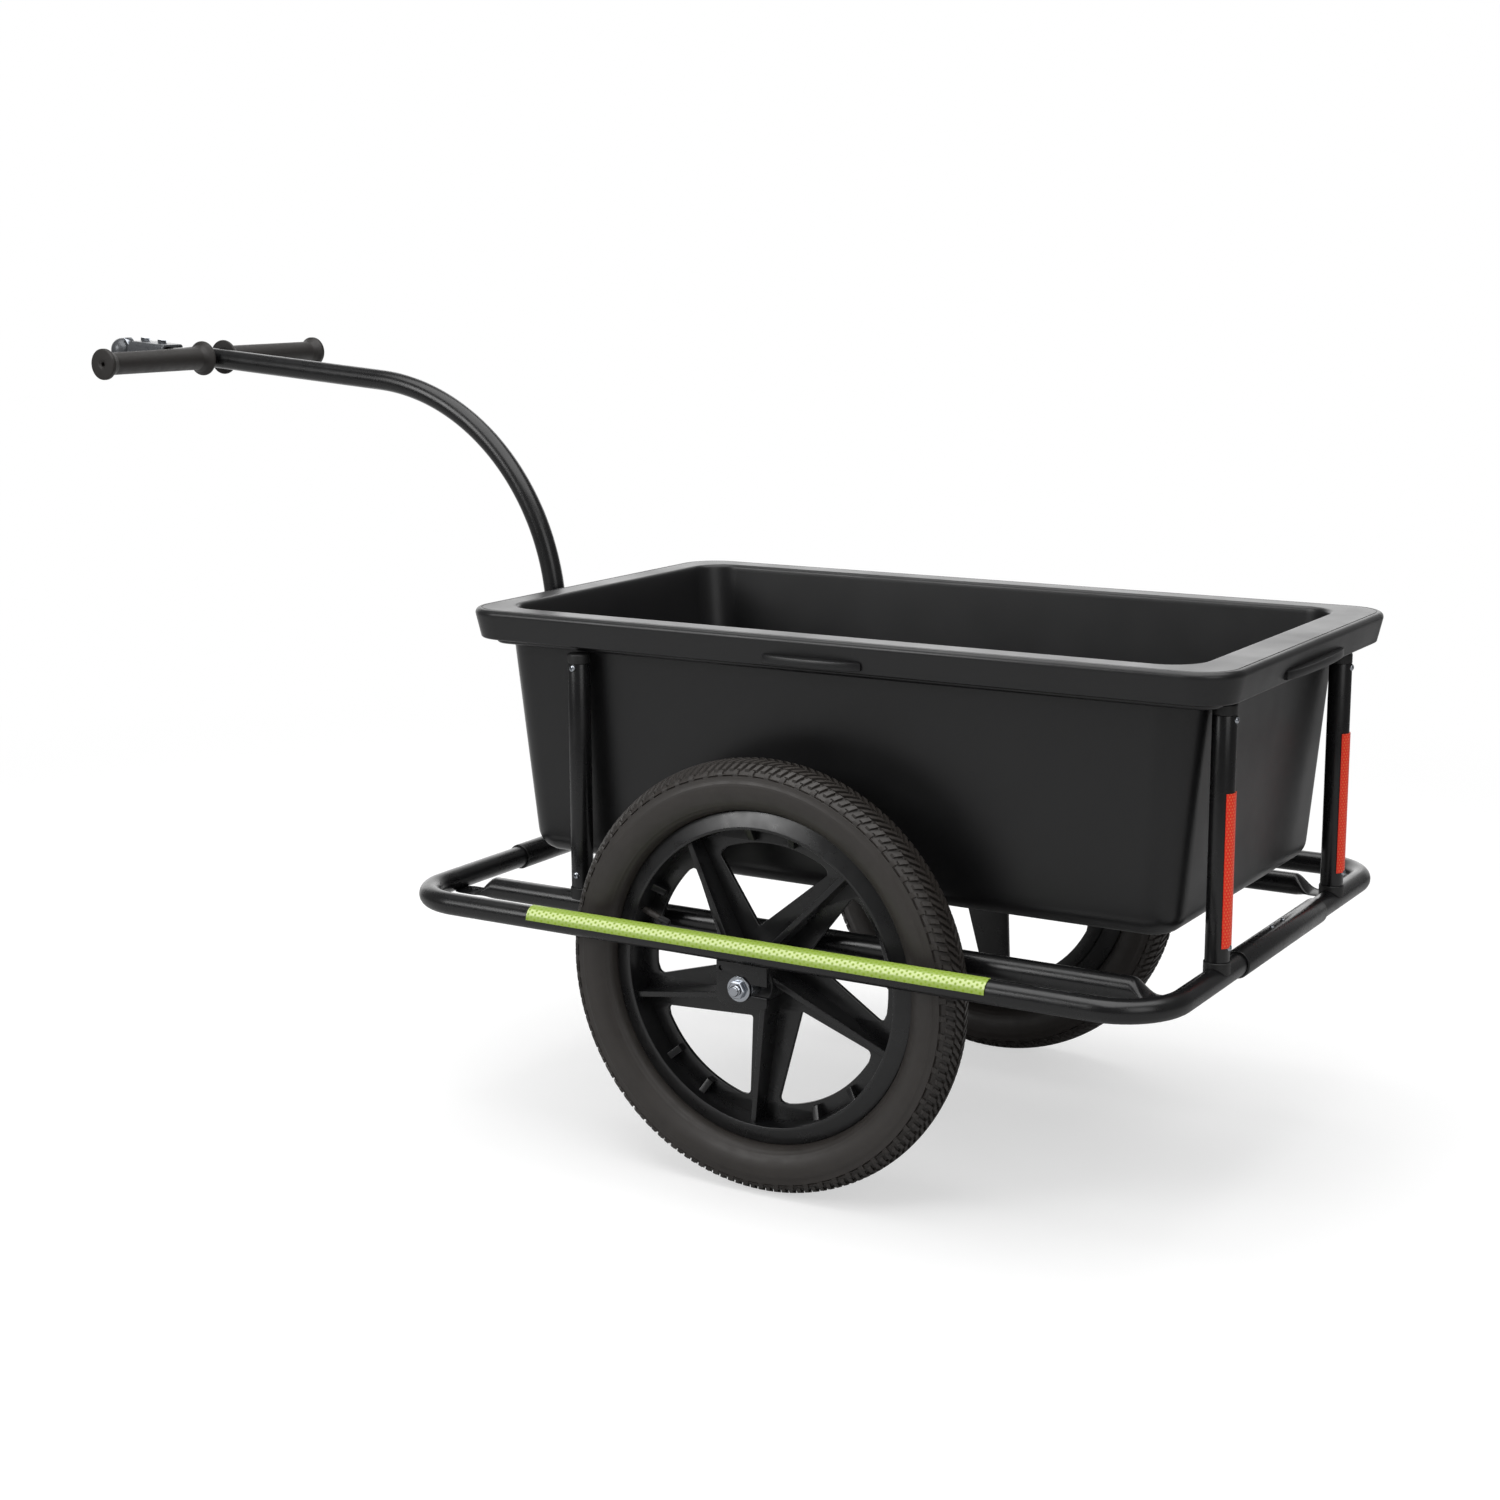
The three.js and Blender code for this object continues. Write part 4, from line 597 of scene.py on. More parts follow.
# Each finish varies in random patches: of its shades (width, detail, change), of its gloss (width,
# detail, lowest and highest roughness) and of its grain (width, detail, depth). Widths and depths are in
# millimetres. The real grains are two to five times finer, and are drawn this coarse so that they show.
FINISHES = {
    # Baked polyester powder: a satin black skin whose faint orange peel breaks up long highlights
    "powder_coat": {
        "name": "powder coated steel tube", "roughness": 0.28,
        "shades": (60, 4.0, 0.12), "gloss": (25, 3.0, 0.23, 0.33), "grain": (1.8, 2.0, 0.02)},
    # Injection moulded polypropylene: a spark-eroded grain that spreads light, duller than the tubes
    "tub": {
        "name": "moulded polypropylene tub", "roughness": 0.36, "ior": 1.49,
        "shades": (120, 4.0, 0.1), "gloss": (70, 3.0, 0.31, 0.4), "grain": (0.9, 3.0, 0.03)},
    # Moulded polyethylene plugs: plain matte black with a soft sheen at the edges
    "fitting": {
        "name": "moulded polyethylene fitting", "roughness": 0.5, "ior": 1.51,
        "gloss": (8, 3.0, 0.44, 0.58), "grain": (0.7, 2.0, 0.03)},
    # Glass-filled nylon: satin black with faint flow marks left by the mould
    "wheel": {
        "name": "glass filled nylon wheel", "roughness": 0.3, "ior": 1.53,
        "shades": (30, 4.0, 0.15), "gloss": (18, 5.0, 0.24, 0.36), "grain": (1.1, 2.0, 0.02)},
    # Vulcanised rubber: dull brown-black, a little dusty, with a waxy sheen on the side wall
    "tyre": {
        "name": "vulcanised tyre rubber", "roughness": 0.5, "ior": 1.52,
        "shades": (22, 4.0, 0.2), "gloss": (12, 3.0, 0.42, 0.58), "grain": (0.8, 2.0, 0.03)},
    # Moulded thermoplastic rubber: matte brown-black that scatters light widely
    "grip": {
        "name": "moulded grip rubber", "roughness": 0.55,
        "shades": (14, 4.0, 0.12), "gloss": (9, 3.0, 0.5, 0.62), "grain": (0.6, 2.0, 0.05)},
    # Bright zinc plate on cold-formed steel: cool, mirror-like, clouded by the bath
    "zinc": {
        "name": "bright zinc plated steel", "roughness": 0.18, "metallic": 1.0,
        "gloss": (3, 3.0, 0.12, 0.24), "grain": (1.2, 2.0, 0.02)},
    # Pressed steel under a thin grey zinc-phosphate paint: mid grey, with a metallic gloss
    "coupling": {
        "name": "grey painted pressed steel", "roughness": 0.3, "metallic": 0.35,
        "shades": (9, 4.0, 0.1), "gloss": (6, 3.0, 0.24, 0.36), "grain": (1.0, 2.0, 0.02)},
    # Drawn spring wire: grey steel with a dull polish
    "spring": {
        "name": "drawn spring wire", "roughness": 0.3, "metallic": 1.0, "gloss": (2, 3.0, 0.25, 0.38)},
    # Acetal bush: off-white, waxy and smooth
    "bush": {
        "name": "moulded acetal bush", "roughness": 0.35, "ior": 1.48, "gloss": (5, 3.0, 0.3, 0.42)},
    # Painted studio floor, so pale that it meets the surroundings without an edge
    "floor": {"name": "painted studio floor", "roughness": 0.9, "shades": (400, 4.0, 0.01)},
}
# For each film: the material's name, and how much of its line colour shows in the middle of a cell and
# on the net between the cells
FILMS = {
    "lime": ("embossed lime reflective film", 0.0, 1.0),
    "red": ("embossed red reflective film", 1.0, 0.0),
}
MATERIALS = {}


def add_node(material, kind, fields=None, values=None, links=None):
    """Adds a node, sets its fields and sockets, and links its inputs to other sockets."""
    tree = material.node_tree
    node = tree.nodes.new(kind)
    for name, value in (fields or {}).items():
        setattr(node, name, value)
    for name, value in (values or {}).items():
        node.inputs[name].default_value = value
    for name, source in (links or {}).items():
        tree.links.new(source, node.inputs[name])
    return node


def link(material, source, target):
    material.node_tree.links.new(source, target)


def start_material(name, paint, roughness, ior=1.5, metallic=0.0):
    """An empty material with one shader whose plain values are set on its own sockets."""
    material = bpy.data.materials.new(name)
    material.use_nodes = True
    material.node_tree.nodes.clear()
    material.diffuse_color = (*paint, 1)
    shader = add_node(material, "ShaderNodeBsdfPrincipled", values={
        "Base Color": (*paint, 1), "Roughness": roughness, "IOR": ior, "Metallic": metallic})
    add_node(material, "ShaderNodeOutputMaterial", links={"Surface": shader.outputs[0]})
    return material, shader


def patched_finish(key):
    """A finish whose colour, roughness and surface vary in random patches of a real width."""
    finish = FINISHES[key]
    paint = getattr(bpy.context.scene.trailer_finishes, key)
    material, shader = start_material(
        finish["name"], paint, finish["roughness"], finish.get("ior", 1.5), finish.get("metallic", 0.0))
    place = add_node(material, "ShaderNodeTexCoord").outputs["Object"]
    for kind in ("shades", "gloss", "grain"):
        if kind not in finish:
            continue
        width, detail, *levels = finish[kind]
        patches = add_node(
            material, "ShaderNodeTexNoise", values={"Scale": 1 / (width * MM), "Detail": detail},
            links={"Vector": place}).outputs["Fac"]
        if kind == "shades":
            darker, lighter = ([shade * (1 + way * levels[0]) for shade in paint] for way in (-1, 1))
            mix = add_node(
                material, "ShaderNodeMix", {"data_type": "RGBA"},
                {"A": (*darker, 1), "B": (*lighter, 1)}, {"Factor": patches})
            link(material, mix.outputs["Result"], shader.inputs["Base Color"])
        elif kind == "gloss":
            # Nearly all of the noise lies between 0.3 and 0.7
            spread = add_node(
                material, "ShaderNodeMapRange", values={
                    "From Min": 0.3, "From Max": 0.7, "To Min": levels[0], "To Max": levels[1]},
                links={"Value": patches})
            link(material, spread.outputs[0], shader.inputs["Roughness"])
        else:
            bump = add_node(
                material, "ShaderNodeBump", values={"Strength": 1.0, "Distance": levels[0] * MM},
                links={"Height": patches})
            link(material, bump.outputs[0], shader.inputs["Normal"])
    return material, shader


def reflective_film(key):
    # Embossed film over glass beads: a honeycomb whose cells differ from the net between them, most of
    # all along the middle of the strip
    name, dot, net = FILMS[key]
    finishes, film = bpy.context.scene.trailer_finishes, bpy.context.scene.trailer_film
    ground, line = getattr(finishes, key), getattr(finishes, f"{key}_line")
    cell, band = getattr(film, f"{key}_cell"), getattr(film, f"{key}_band")
    material, shader = start_material(name, ground, 0.4)
    flat = add_node(material, "ShaderNodeUVMap", {"uv_map": "film"}).outputs[0]
    in_cells = add_node(
        material, "ShaderNodeVectorMath", {"operation": "SCALE"}, {"Scale": 1 / cell},
        {0: flat}).outputs[0]
    # The cells' middles lie on two rectangular lattices, half a step apart
    half = (TRIANGLE_SHARE, 0.5, 0.5)
    reaches = {}
    for lattice, start in enumerate(((0.0, 0.0, 0.0), half)):
        vector = in_cells
        for operation, values in (
                ("ADD", {1: start}), ("WRAP", {1: half, 2: tuple(-part for part in half)}),
                ("MULTIPLY", {1: (1.0, 1.0, 0.0)})):
            vector = add_node(
                material, "ShaderNodeVectorMath", {"operation": operation}, values,
                {0: vector}).outputs[0]
        reaches[lattice] = add_node(
            material, "ShaderNodeVectorMath", {"operation": "LENGTH"},
            links={0: vector}).outputs["Value"]
    reach = add_node(material, "ShaderNodeMath", {"operation": "MINIMUM"}, links=reaches).outputs[0]
    # From the middle of a cell out to the net, in shares of a cell's width
    pattern = add_node(
        material, "ShaderNodeMapRange", {"interpolation_type": "SMOOTHSTEP"},
        {"From Min": 0.16, "From Max": 0.36, "To Min": dot, "To Max": net}, {"Value": reach}).outputs[0]
    across = add_node(material, "ShaderNodeSeparateXYZ", links={0: flat}).outputs["Y"]
    off_middle = add_node(
        material, "ShaderNodeMath", {"operation": "ABSOLUTE"}, links={0: across}).outputs[0]
    # Past the band about a fifth of the pattern is left
    strength = add_node(
        material, "ShaderNodeMapRange", {"interpolation_type": "SMOOTHSTEP"},
        {"From Min": 0.6 * band, "From Max": band, "To Min": 1.0, "To Max": 0.22},
        {"Value": off_middle}).outputs[0]
    amount = add_node(
        material, "ShaderNodeMath", {"operation": "MULTIPLY"},
        links={0: pattern, 1: strength}).outputs[0]
    paint = add_node(
        material, "ShaderNodeMix", {"data_type": "RGBA"}, {"A": (*ground, 1), "B": (*line, 1)},
        {"Factor": amount})
    link(material, paint.outputs["Result"], shader.inputs["Base Color"])
    bump = add_node(
        material, "ShaderNodeBump", values={"Strength": 0.5, "Distance": 0.1 * MM},
        links={"Height": pattern})
    link(material, bump.outputs[0], shader.inputs["Normal"])
    return material


def material_for(key):
    """The finish of that name, made once from the colours in the panel."""
    if key not in MATERIALS:
        MATERIALS[key] = reflective_film(key) if key in FILMS else patched_finish(key)[0]
    return MATERIALS[key]


# Operators, one for each group of like pieces

class TRAILER_OT_frame_tubes(bpy.types.Operator):
    """Build the bent frame tubes, their sleeves and rivets, and the inner rails with pressed ends"""

    bl_idname = "trailer.frame_tubes"
    bl_label = "Frame tubes"

    def execute(self, context):
        sizes = context.scene.trailer_frame
        for name, side in SIDES.items():
            gap = sizes.half_gap
            corners = (FRONT_X, gap), (FRONT_X, RAIL_Y), (REAR_X, RAIL_Y), (REAR_X, gap)
            line = bent_line([(x, side * y, RAIL_Z) for x, y in corners], sizes.bend, sizes.bend_steps)
            tube = Shape().loft(tube_rings(line, UP, sizes.sides))
            make_piece(f"{name}_frame_tube", tube, "powder_coat", f"{name}_side_frame")
            self.inner_rail(sizes, name, side)
        for end in ("front", "rear"):
            self.sleeve(sizes, end)
        return {"FINISHED"}

    def inner_rail(self, sizes, name, side):
        half = size_of(f"{name}_inner_rail").y / 2
        rear = self.pressed_end(sizes, half, sizes.tongue_rear)
        front = self.pressed_end(sizes, half, sizes.tongue_front)
        stations = [(REAR_X + place, *rest) for place, *rest in rear]
        stations += [(FRONT_X - place, *rest) for place, *rest in reversed(front)]
        rings = [
            [(x, side * INNER_Y + width * a, z + height * b) for a, b in circle(1, sizes.sides)]
            for x, width, height, z in stations]
        make_piece(f"{name}_rail_tube", Shape().loft(rings), "powder_coat", f"{name}_inner_rail")
        seat = INNER_Z - TUBE_RADIUS + sizes.tongue_rise + sizes.tongue
        # In shares of the eyelet's radius
        rolled = scaled(sizes.eyelet, [(0.45, 0, 0), (1, 0, 0), (1, 0.3, 0.15), (0.45, 0.3, 0.12)])
        for end, x in (("front", FRONT_X - sizes.eyelet_inset), ("rear", REAR_X + sizes.eyelet_inset)):
            eyelet = lathe(24, 5, *rolled).moved(axis_matrix((x, side * INNER_Y, seat), UP))
            loose_piece(f"{name}_{end}_eyelet", eyelet, "powder_coat", "frame", "frame_paint")

    def pressed_end(self, sizes, half, flat_end):
        """Stations (place, half width, half height, height) from the flat tip to the round tube."""
        low = INNER_Z - TUBE_RADIUS
        thin = sizes.tongue / 2
        rounded = 8 * MM
        stations = [
            (sizes.tongue_gap + share * rounded, half * (0.8 + 0.2 * sqrt(share)), thin,
             low + sizes.tongue_rise + thin)
            for share in (0.0, 0.1, 0.3, 0.6, 1.0)]
        for share in shares(12):
            ease = eased(share)
            height = between(thin, TUBE_RADIUS, ease)
            stations.append((
                flat_end + sizes.press * share, between(half, TUBE_RADIUS, ease), height,
                low + sizes.tongue_rise * (1 - ease) + height))
        return stations

    def sleeve(self, sizes, end):
        low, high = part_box(f"{end}_sleeve")
        radius, x = (high.z - low.z) / 2, (low.x + high.x) / 2
        sleeve = collar(48, 3, TUBE_RADIUS + FIT, radius, low.y, high.y, (0, sizes.edge, sizes.edge, 0))
        sleeve.moved(shift(x, 0, RAIL_Z))
        make_piece(f"{end}_joint_sleeve", sleeve, "powder_coat", f"{end}_sleeve")
        # In shares of the rivet's radius
        dome = scaled(sizes.rivet, [
            (0, -0.3, 0), (1, -0.3, 0), (1, 0.35, 0.3), (0.45, 0.62, 0.2), (0.42, 0.3, 0), (0, 0.3, 0)])
        for name, side in SIDES.items():
            rivet = lathe(20, 4, *dome)
            rivet.moved(axis_matrix((x, side * sizes.rivet_spacing / 2, RAIL_Z + radius), UP))
            loose_piece(f"{end}_sleeve_{name}_rivet", rivet, "zinc", "frame", "zinc_steel")


class TRAILER_OT_brackets(bpy.types.Operator):
    """Build the axle brackets that hang under the rails"""

    bl_idname = "trailer.brackets"
    bl_label = "Axle brackets"

    def execute(self, context):
        edge = context.scene.trailer_frame.edge
        slot, corner, hole = 5.3 * MM, 8 * MM, 2.5 * MM
        for name in SIDES:
            for place in ("outer", "inner"):
                low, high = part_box(f"{name}_{place}_bracket")
                over, under = AXLE.z + slot, AXLE.z - slot
                outline = filleted([
                    (low.x, high.z, 0), (low.x, over, 0.5 * edge), (AXLE.x, over, 0)], 3)
                outline += [
                    (AXLE.x + slot * sin(pi * share), AXLE.z + slot * cos(pi * share))
                    for share in shares(12)[1:-1]]
                outline += filleted([
                    (AXLE.x, under, 0), (low.x, under, 0.5 * edge), (low.x, low.z, corner),
                    (high.x, low.z, corner), (high.x, high.z, 0)], 6)
                bored = [(AXLE.x + 20 * MM + x, high.z - 7 * MM + z) for x, z in circle(hole, 20)]
                shape = plate([outline, bored], low.y, high.y, 0.6 * edge)
                make_piece(f"{name}_{place}_axle_plate", shape, "powder_coat", f"{name}_{place}_bracket")
        return {"FINISHED"}


class TRAILER_OT_posts(bpy.types.Operator):
    """Build the four posts with their moulded feet and caps and their screws"""

    bl_idname = "trailer.posts"
    bl_label = "Posts, feet and caps"

    def execute(self, context):
        sizes = context.scene.trailer_frame
        wall, plug = 1.5 * MM, TUBE_RADIUS - 1.8 * MM
        for post in POSTS:
            low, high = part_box(f"{post}_post")
            edges = (0, 0.4 * sizes.edge, 0.4 * sizes.edge, 0)
            tube = collar(sizes.sides, 2, TUBE_RADIUS - wall, TUBE_RADIUS, low.z, high.z, edges)
            tube.moved(upright_at(f"{post}_post"))
            make_piece(f"{post}_post_tube", tube, "powder_coat", f"{post}_post")
            self.foot(sizes, post, low.z - FIT, plug)
            self.cap(sizes, post, high.z + FIT, plug)
            self.screws(sizes, post, low, high)
        return {"FINISHED"}

    def foot(self, sizes, post, top, plug):
        """A collar that straddles the tube below, with a plug up into the post."""
        low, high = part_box(f"{post}_foot")
        middle = middle_of(f"{post}_post")
        along_x = post.startswith("front")
        tube_z = INNER_Z if along_x else RAIL_Z
        reach = TUBE_RADIUS + FIT
        outer = (high.x - low.x) / 2
        rings = []
        for way in circle(1, 64):
            off = way[1] if along_x else way[0]
            section = [(outer, tube_z + max(reach - sizes.foot_flange, saddle(outer * off, reach)))]
            section += [
                (outer - 0.7 * sizes.edge * (1 - share), top - 0.7 * sizes.edge * share)
                for share in (1.0, 0.7, 0.35, 0.1)]
            section += [(plug, top), (plug, high.z), (0.2 * plug, high.z)]
            section += [
                (plug * share, tube_z + saddle(plug * share * off, reach)) for share in (0.2, 0.5, 0.8)]
            rings.append([(middle.x + r * way[0], middle.y + r * way[1], z) for r, z in section])
        make_piece(f"{post}_saddle_foot", Shape().loft(rings, closed=True), "fitting", f"{post}_foot")

    def cap(self, sizes, post, seat, plug):
        low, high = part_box(f"{post}_cap")
        edge = sizes.edge
        cap = lathe(
            48, 6, (0, low.z, 0), (plug, low.z, edge), (plug, seat, 0), (TUBE_RADIUS, seat, 0.4 * edge),
            (TUBE_RADIUS, high.z, 2.4 * edge), (0, high.z, 0))
        make_piece(f"{post}_post_cap", cap.moved(upright_at(f"{post}_cap")), "fitting", f"{post}_cap")

    def screws(self, sizes, post, low, high):
        """Front posts have their screws on the outer side, rear posts on the rear side."""
        end, name = post.split("_")
        way = Vector((0, SIDES[name], 0)) if end == "front" else Vector((-1, 0, 0))
        middle = (low + high) / 2 + way * (TUBE_RADIUS - 0.4 * MM)
        for place, z in (("low", low.z + sizes.screw_low), ("high", high.z - sizes.screw_high)):
            screw = pan_head_screw(sizes).moved(axis_matrix((middle.x, middle.y, z), way))
            loose_piece(f"{post}_{place}_screw", screw, "zinc", "frame", "zinc_steel")


def pan_head_screw(sizes):
    """A pan head turned round the Y axis, with a cross recess sunk in its crown."""
    radius, rise, drive, sides = sizes.screw, sizes.screw_rise, sizes.screw_drive, 48
    rings = []
    for share in shares(14):
        ring = []
        for x, z in circle(radius * share, sides):
            height = rise * (1 - share ** 3.2) ** 0.6
            near, far = sorted((abs(x), abs(z)))
            if near < 0.28 * drive and far < drive:
                height -= 0.55 * rise
            ring.append((x, height, z))
        rings.append(ring)
    rings[0] = [(x, rings[0][0][1], z) for x, z in circle(0.02 * MM, sides)]
    rings.append([(x, -0.6 * MM, z) for x, z in circle(radius, sides)])
    return Shape().loft(rings)


class TRAILER_OT_wheels(bpy.types.Operator):
    """Build both moulded wheels with their ribs, gussets, hubs, bushes and valves"""

    bl_idname = "trailer.wheels"
    bl_label = "Wheels"

    def execute(self, context):
        sizes = context.scene.trailer_wheel
        for name, side in SIDES.items():
            stand = axle_stand(side, WHEEL.y)
            make_piece(
                f"{name}_wheel", self.rim(sizes).moved(stand), "wheel", f"{name}_wheel_rim", crease=28)
            bush = size_of(f"{name}_hub_bush") / 2
            ring = collar(40, 2, bush.x - 2.2 * MM, bush.x, -bush.y, bush.y, [0.3 * MM] * 4)
            make_piece(f"{name}_bearing_bush", ring.moved(stand), "bush", f"{name}_hub_bush")
            tube, cap = self.valve(sizes)
            make_piece(f"{name}_tube_and_valve", tube.moved(stand), "tyre", f"{name}_inner_tube")
            loose_piece(f"{name}_valve_cap", cap.moved(stand), "fitting", f"{name}_wheel", "tube_rubber")
        return {"FINISHED"}

    def rim(self, sizes):
        """The whole moulding round the Y axis, with its outer side towards +Y."""
        edge, half, lip, barrel = sizes.edge, sizes.rim_half, sizes.lip, sizes.barrel
        web_back, web_front = -half, -half + sizes.web
        flange_edge = sizes.flange_y - 1.3 * MM
        # From the flange's edge down to the bead seat and the well
        bed = [
            (sizes.flange, sizes.flange_y, 0.9 * edge), (sizes.flange, flange_edge, 0.5 * edge),
            (sizes.seat, flange_edge, 1.2 * edge), (sizes.seat, 4 * MM, edge),
            (149.5 * MM, 3.2 * MM, edge)]
        profile = [(barrel, web_back, 0), (lip, web_back, 1.6 * edge)]
        profile += [(radius, -y, fillet) for radius, y, fillet in bed] + bed[::-1]
        profile += [
            (lip, half, 1.4 * edge), (lip - 2.6 * MM, half, 0.8 * edge), (barrel, web_front, 1.2 * edge)]
        shape = lathe(sizes.sides, 4, *profile)
        shape.join(collar(
            64, 4, sizes.hub_bore, sizes.hub, -sizes.hub_half, sizes.hub_half,
            (0.5 * edge, edge, 1.3 * edge, 0.8 * edge)))
        shape.join(self.web(sizes, web_back, web_front))
        for turn_by in turns(sizes.windows):
            rib = self.rib(sizes, (web_back + web_front) / 2)
            shape.join(rib.moved(about_y(sizes.rib_turn + turn_by)))
            for way in (-1, 1):
                gusset = self.gusset(sizes, web_front - edge, barrel + 1.5 * MM)
                shape.join(gusset.moved(about_y(sizes.window_start + turn_by + way * sizes.gusset_turn)))
        return shape

    def fin(self, half, spread, foot, top, edge, steps):
        """Section of a moulded rib, a little wider at its foot and rounded at its top."""
        wide = half * spread
        return filleted(
            [(-wide, foot, 0), (wide, foot, 0), (half, top, edge), (-half, top, edge)], steps)

    def gusset(self, sizes, foot, outer):
        """A short rib between web and rim, whose front face slopes back towards the hub."""
        drop = (outer - sizes.gusset_inner) * tan(sizes.gusset_lean)
        rings = []
        for z, top in ((sizes.gusset_inner, sizes.gusset_y - drop), (outer, sizes.gusset_y)):
            section = self.fin(sizes.gusset / 2, 1.08, foot, top, 0.6 * sizes.edge, 3)
            rings.append([(x, y, z) for x, y in section])
        return Shape().loft(rings)

    def web(self, sizes, low, high):
        """The plate with five windows; angles run from straight up towards +X."""
        def corner(radius, angle, fillet=0.0):
            return radius * sin(angle), radius * cos(angle), fillet

        loops = [circle((sizes.barrel + sizes.lip) / 2, 96)]
        arc_half = sizes.window_half * 0.84
        for turn_by in turns(sizes.windows):
            middle = sizes.window_start + turn_by
            loops.append(filleted([
                corner(sizes.window_point, middle + sizes.window_lean, 2.5 * MM),
                corner(sizes.window_corner, middle - sizes.window_half, sizes.window_fillet),
                *(corner(sizes.window_arc, middle + arc_half * (2 * share - 1)) for share in shares(14)),
                corner(sizes.window_corner, middle + sizes.window_half, sizes.window_fillet)], 6))
        loops.append(circle((sizes.hub + sizes.hub_bore) / 2, 32))
        return plate(loops, low, high, sizes.edge)

    def rib(self, sizes, foot):
        """A rib drawn beside the hub, towards +Z, with its front edge rounded."""
        start = sqrt(sizes.hub ** 2 - sizes.rib_offset ** 2) - sizes.rib
        end = sqrt(((sizes.lip + sizes.barrel) / 2) ** 2 - sizes.rib_offset ** 2)
        rings = []
        for share in shares(12):
            front = between(sizes.rib_hub_y, sizes.rib_rim_y, share)
            section = self.fin(sizes.rib / 2, 1.15, foot, front, 0.8 * sizes.edge, 4)
            rings.append([(sizes.rib_offset + x, y, between(start, end, share)) for x, y in section])
        return Shape().loft(rings)

    def valve(self, sizes):
        """The inner tube with its rubber stem, and the ribbed cap on the stem."""
        tube = Shape().turned([(183 * MM + 17 * MM * a, 18.5 * MM * b) for a, b in circle(1, 32)], 96)
        low, thick, root = sizes.valve_tip, sizes.valve, 169 * MM
        stem = lathe(
            24, 3, (0, root, 0), (thick, root, 0), (thick, low + 12 * MM, 0.6 * MM),
            (thick * 0.74, low + 11 * MM, 0), (thick * 0.74, low + 1 * MM, 0), (0, low + 1 * MM, 0))
        spin = about_y(sizes.valve_turn)
        tube.join(stem.moved(spin @ axis_matrix((0, 0, 0), UP)))
        ribbed = [(thick * (0.93 + 0.07 * cos(12 * angle)), angle) for angle in turns(72)]
        rings = [
            [(r * share * cos(angle), r * share * sin(angle), low + rise * MM) for r, angle in ribbed]
            for rise, share in ((11.5, 0.95), (10.5, 1.0), (1.2, 0.96), (0.4, 0.85), (0, 0.55))]
        return tube, Shape().loft(rings).moved(spin)


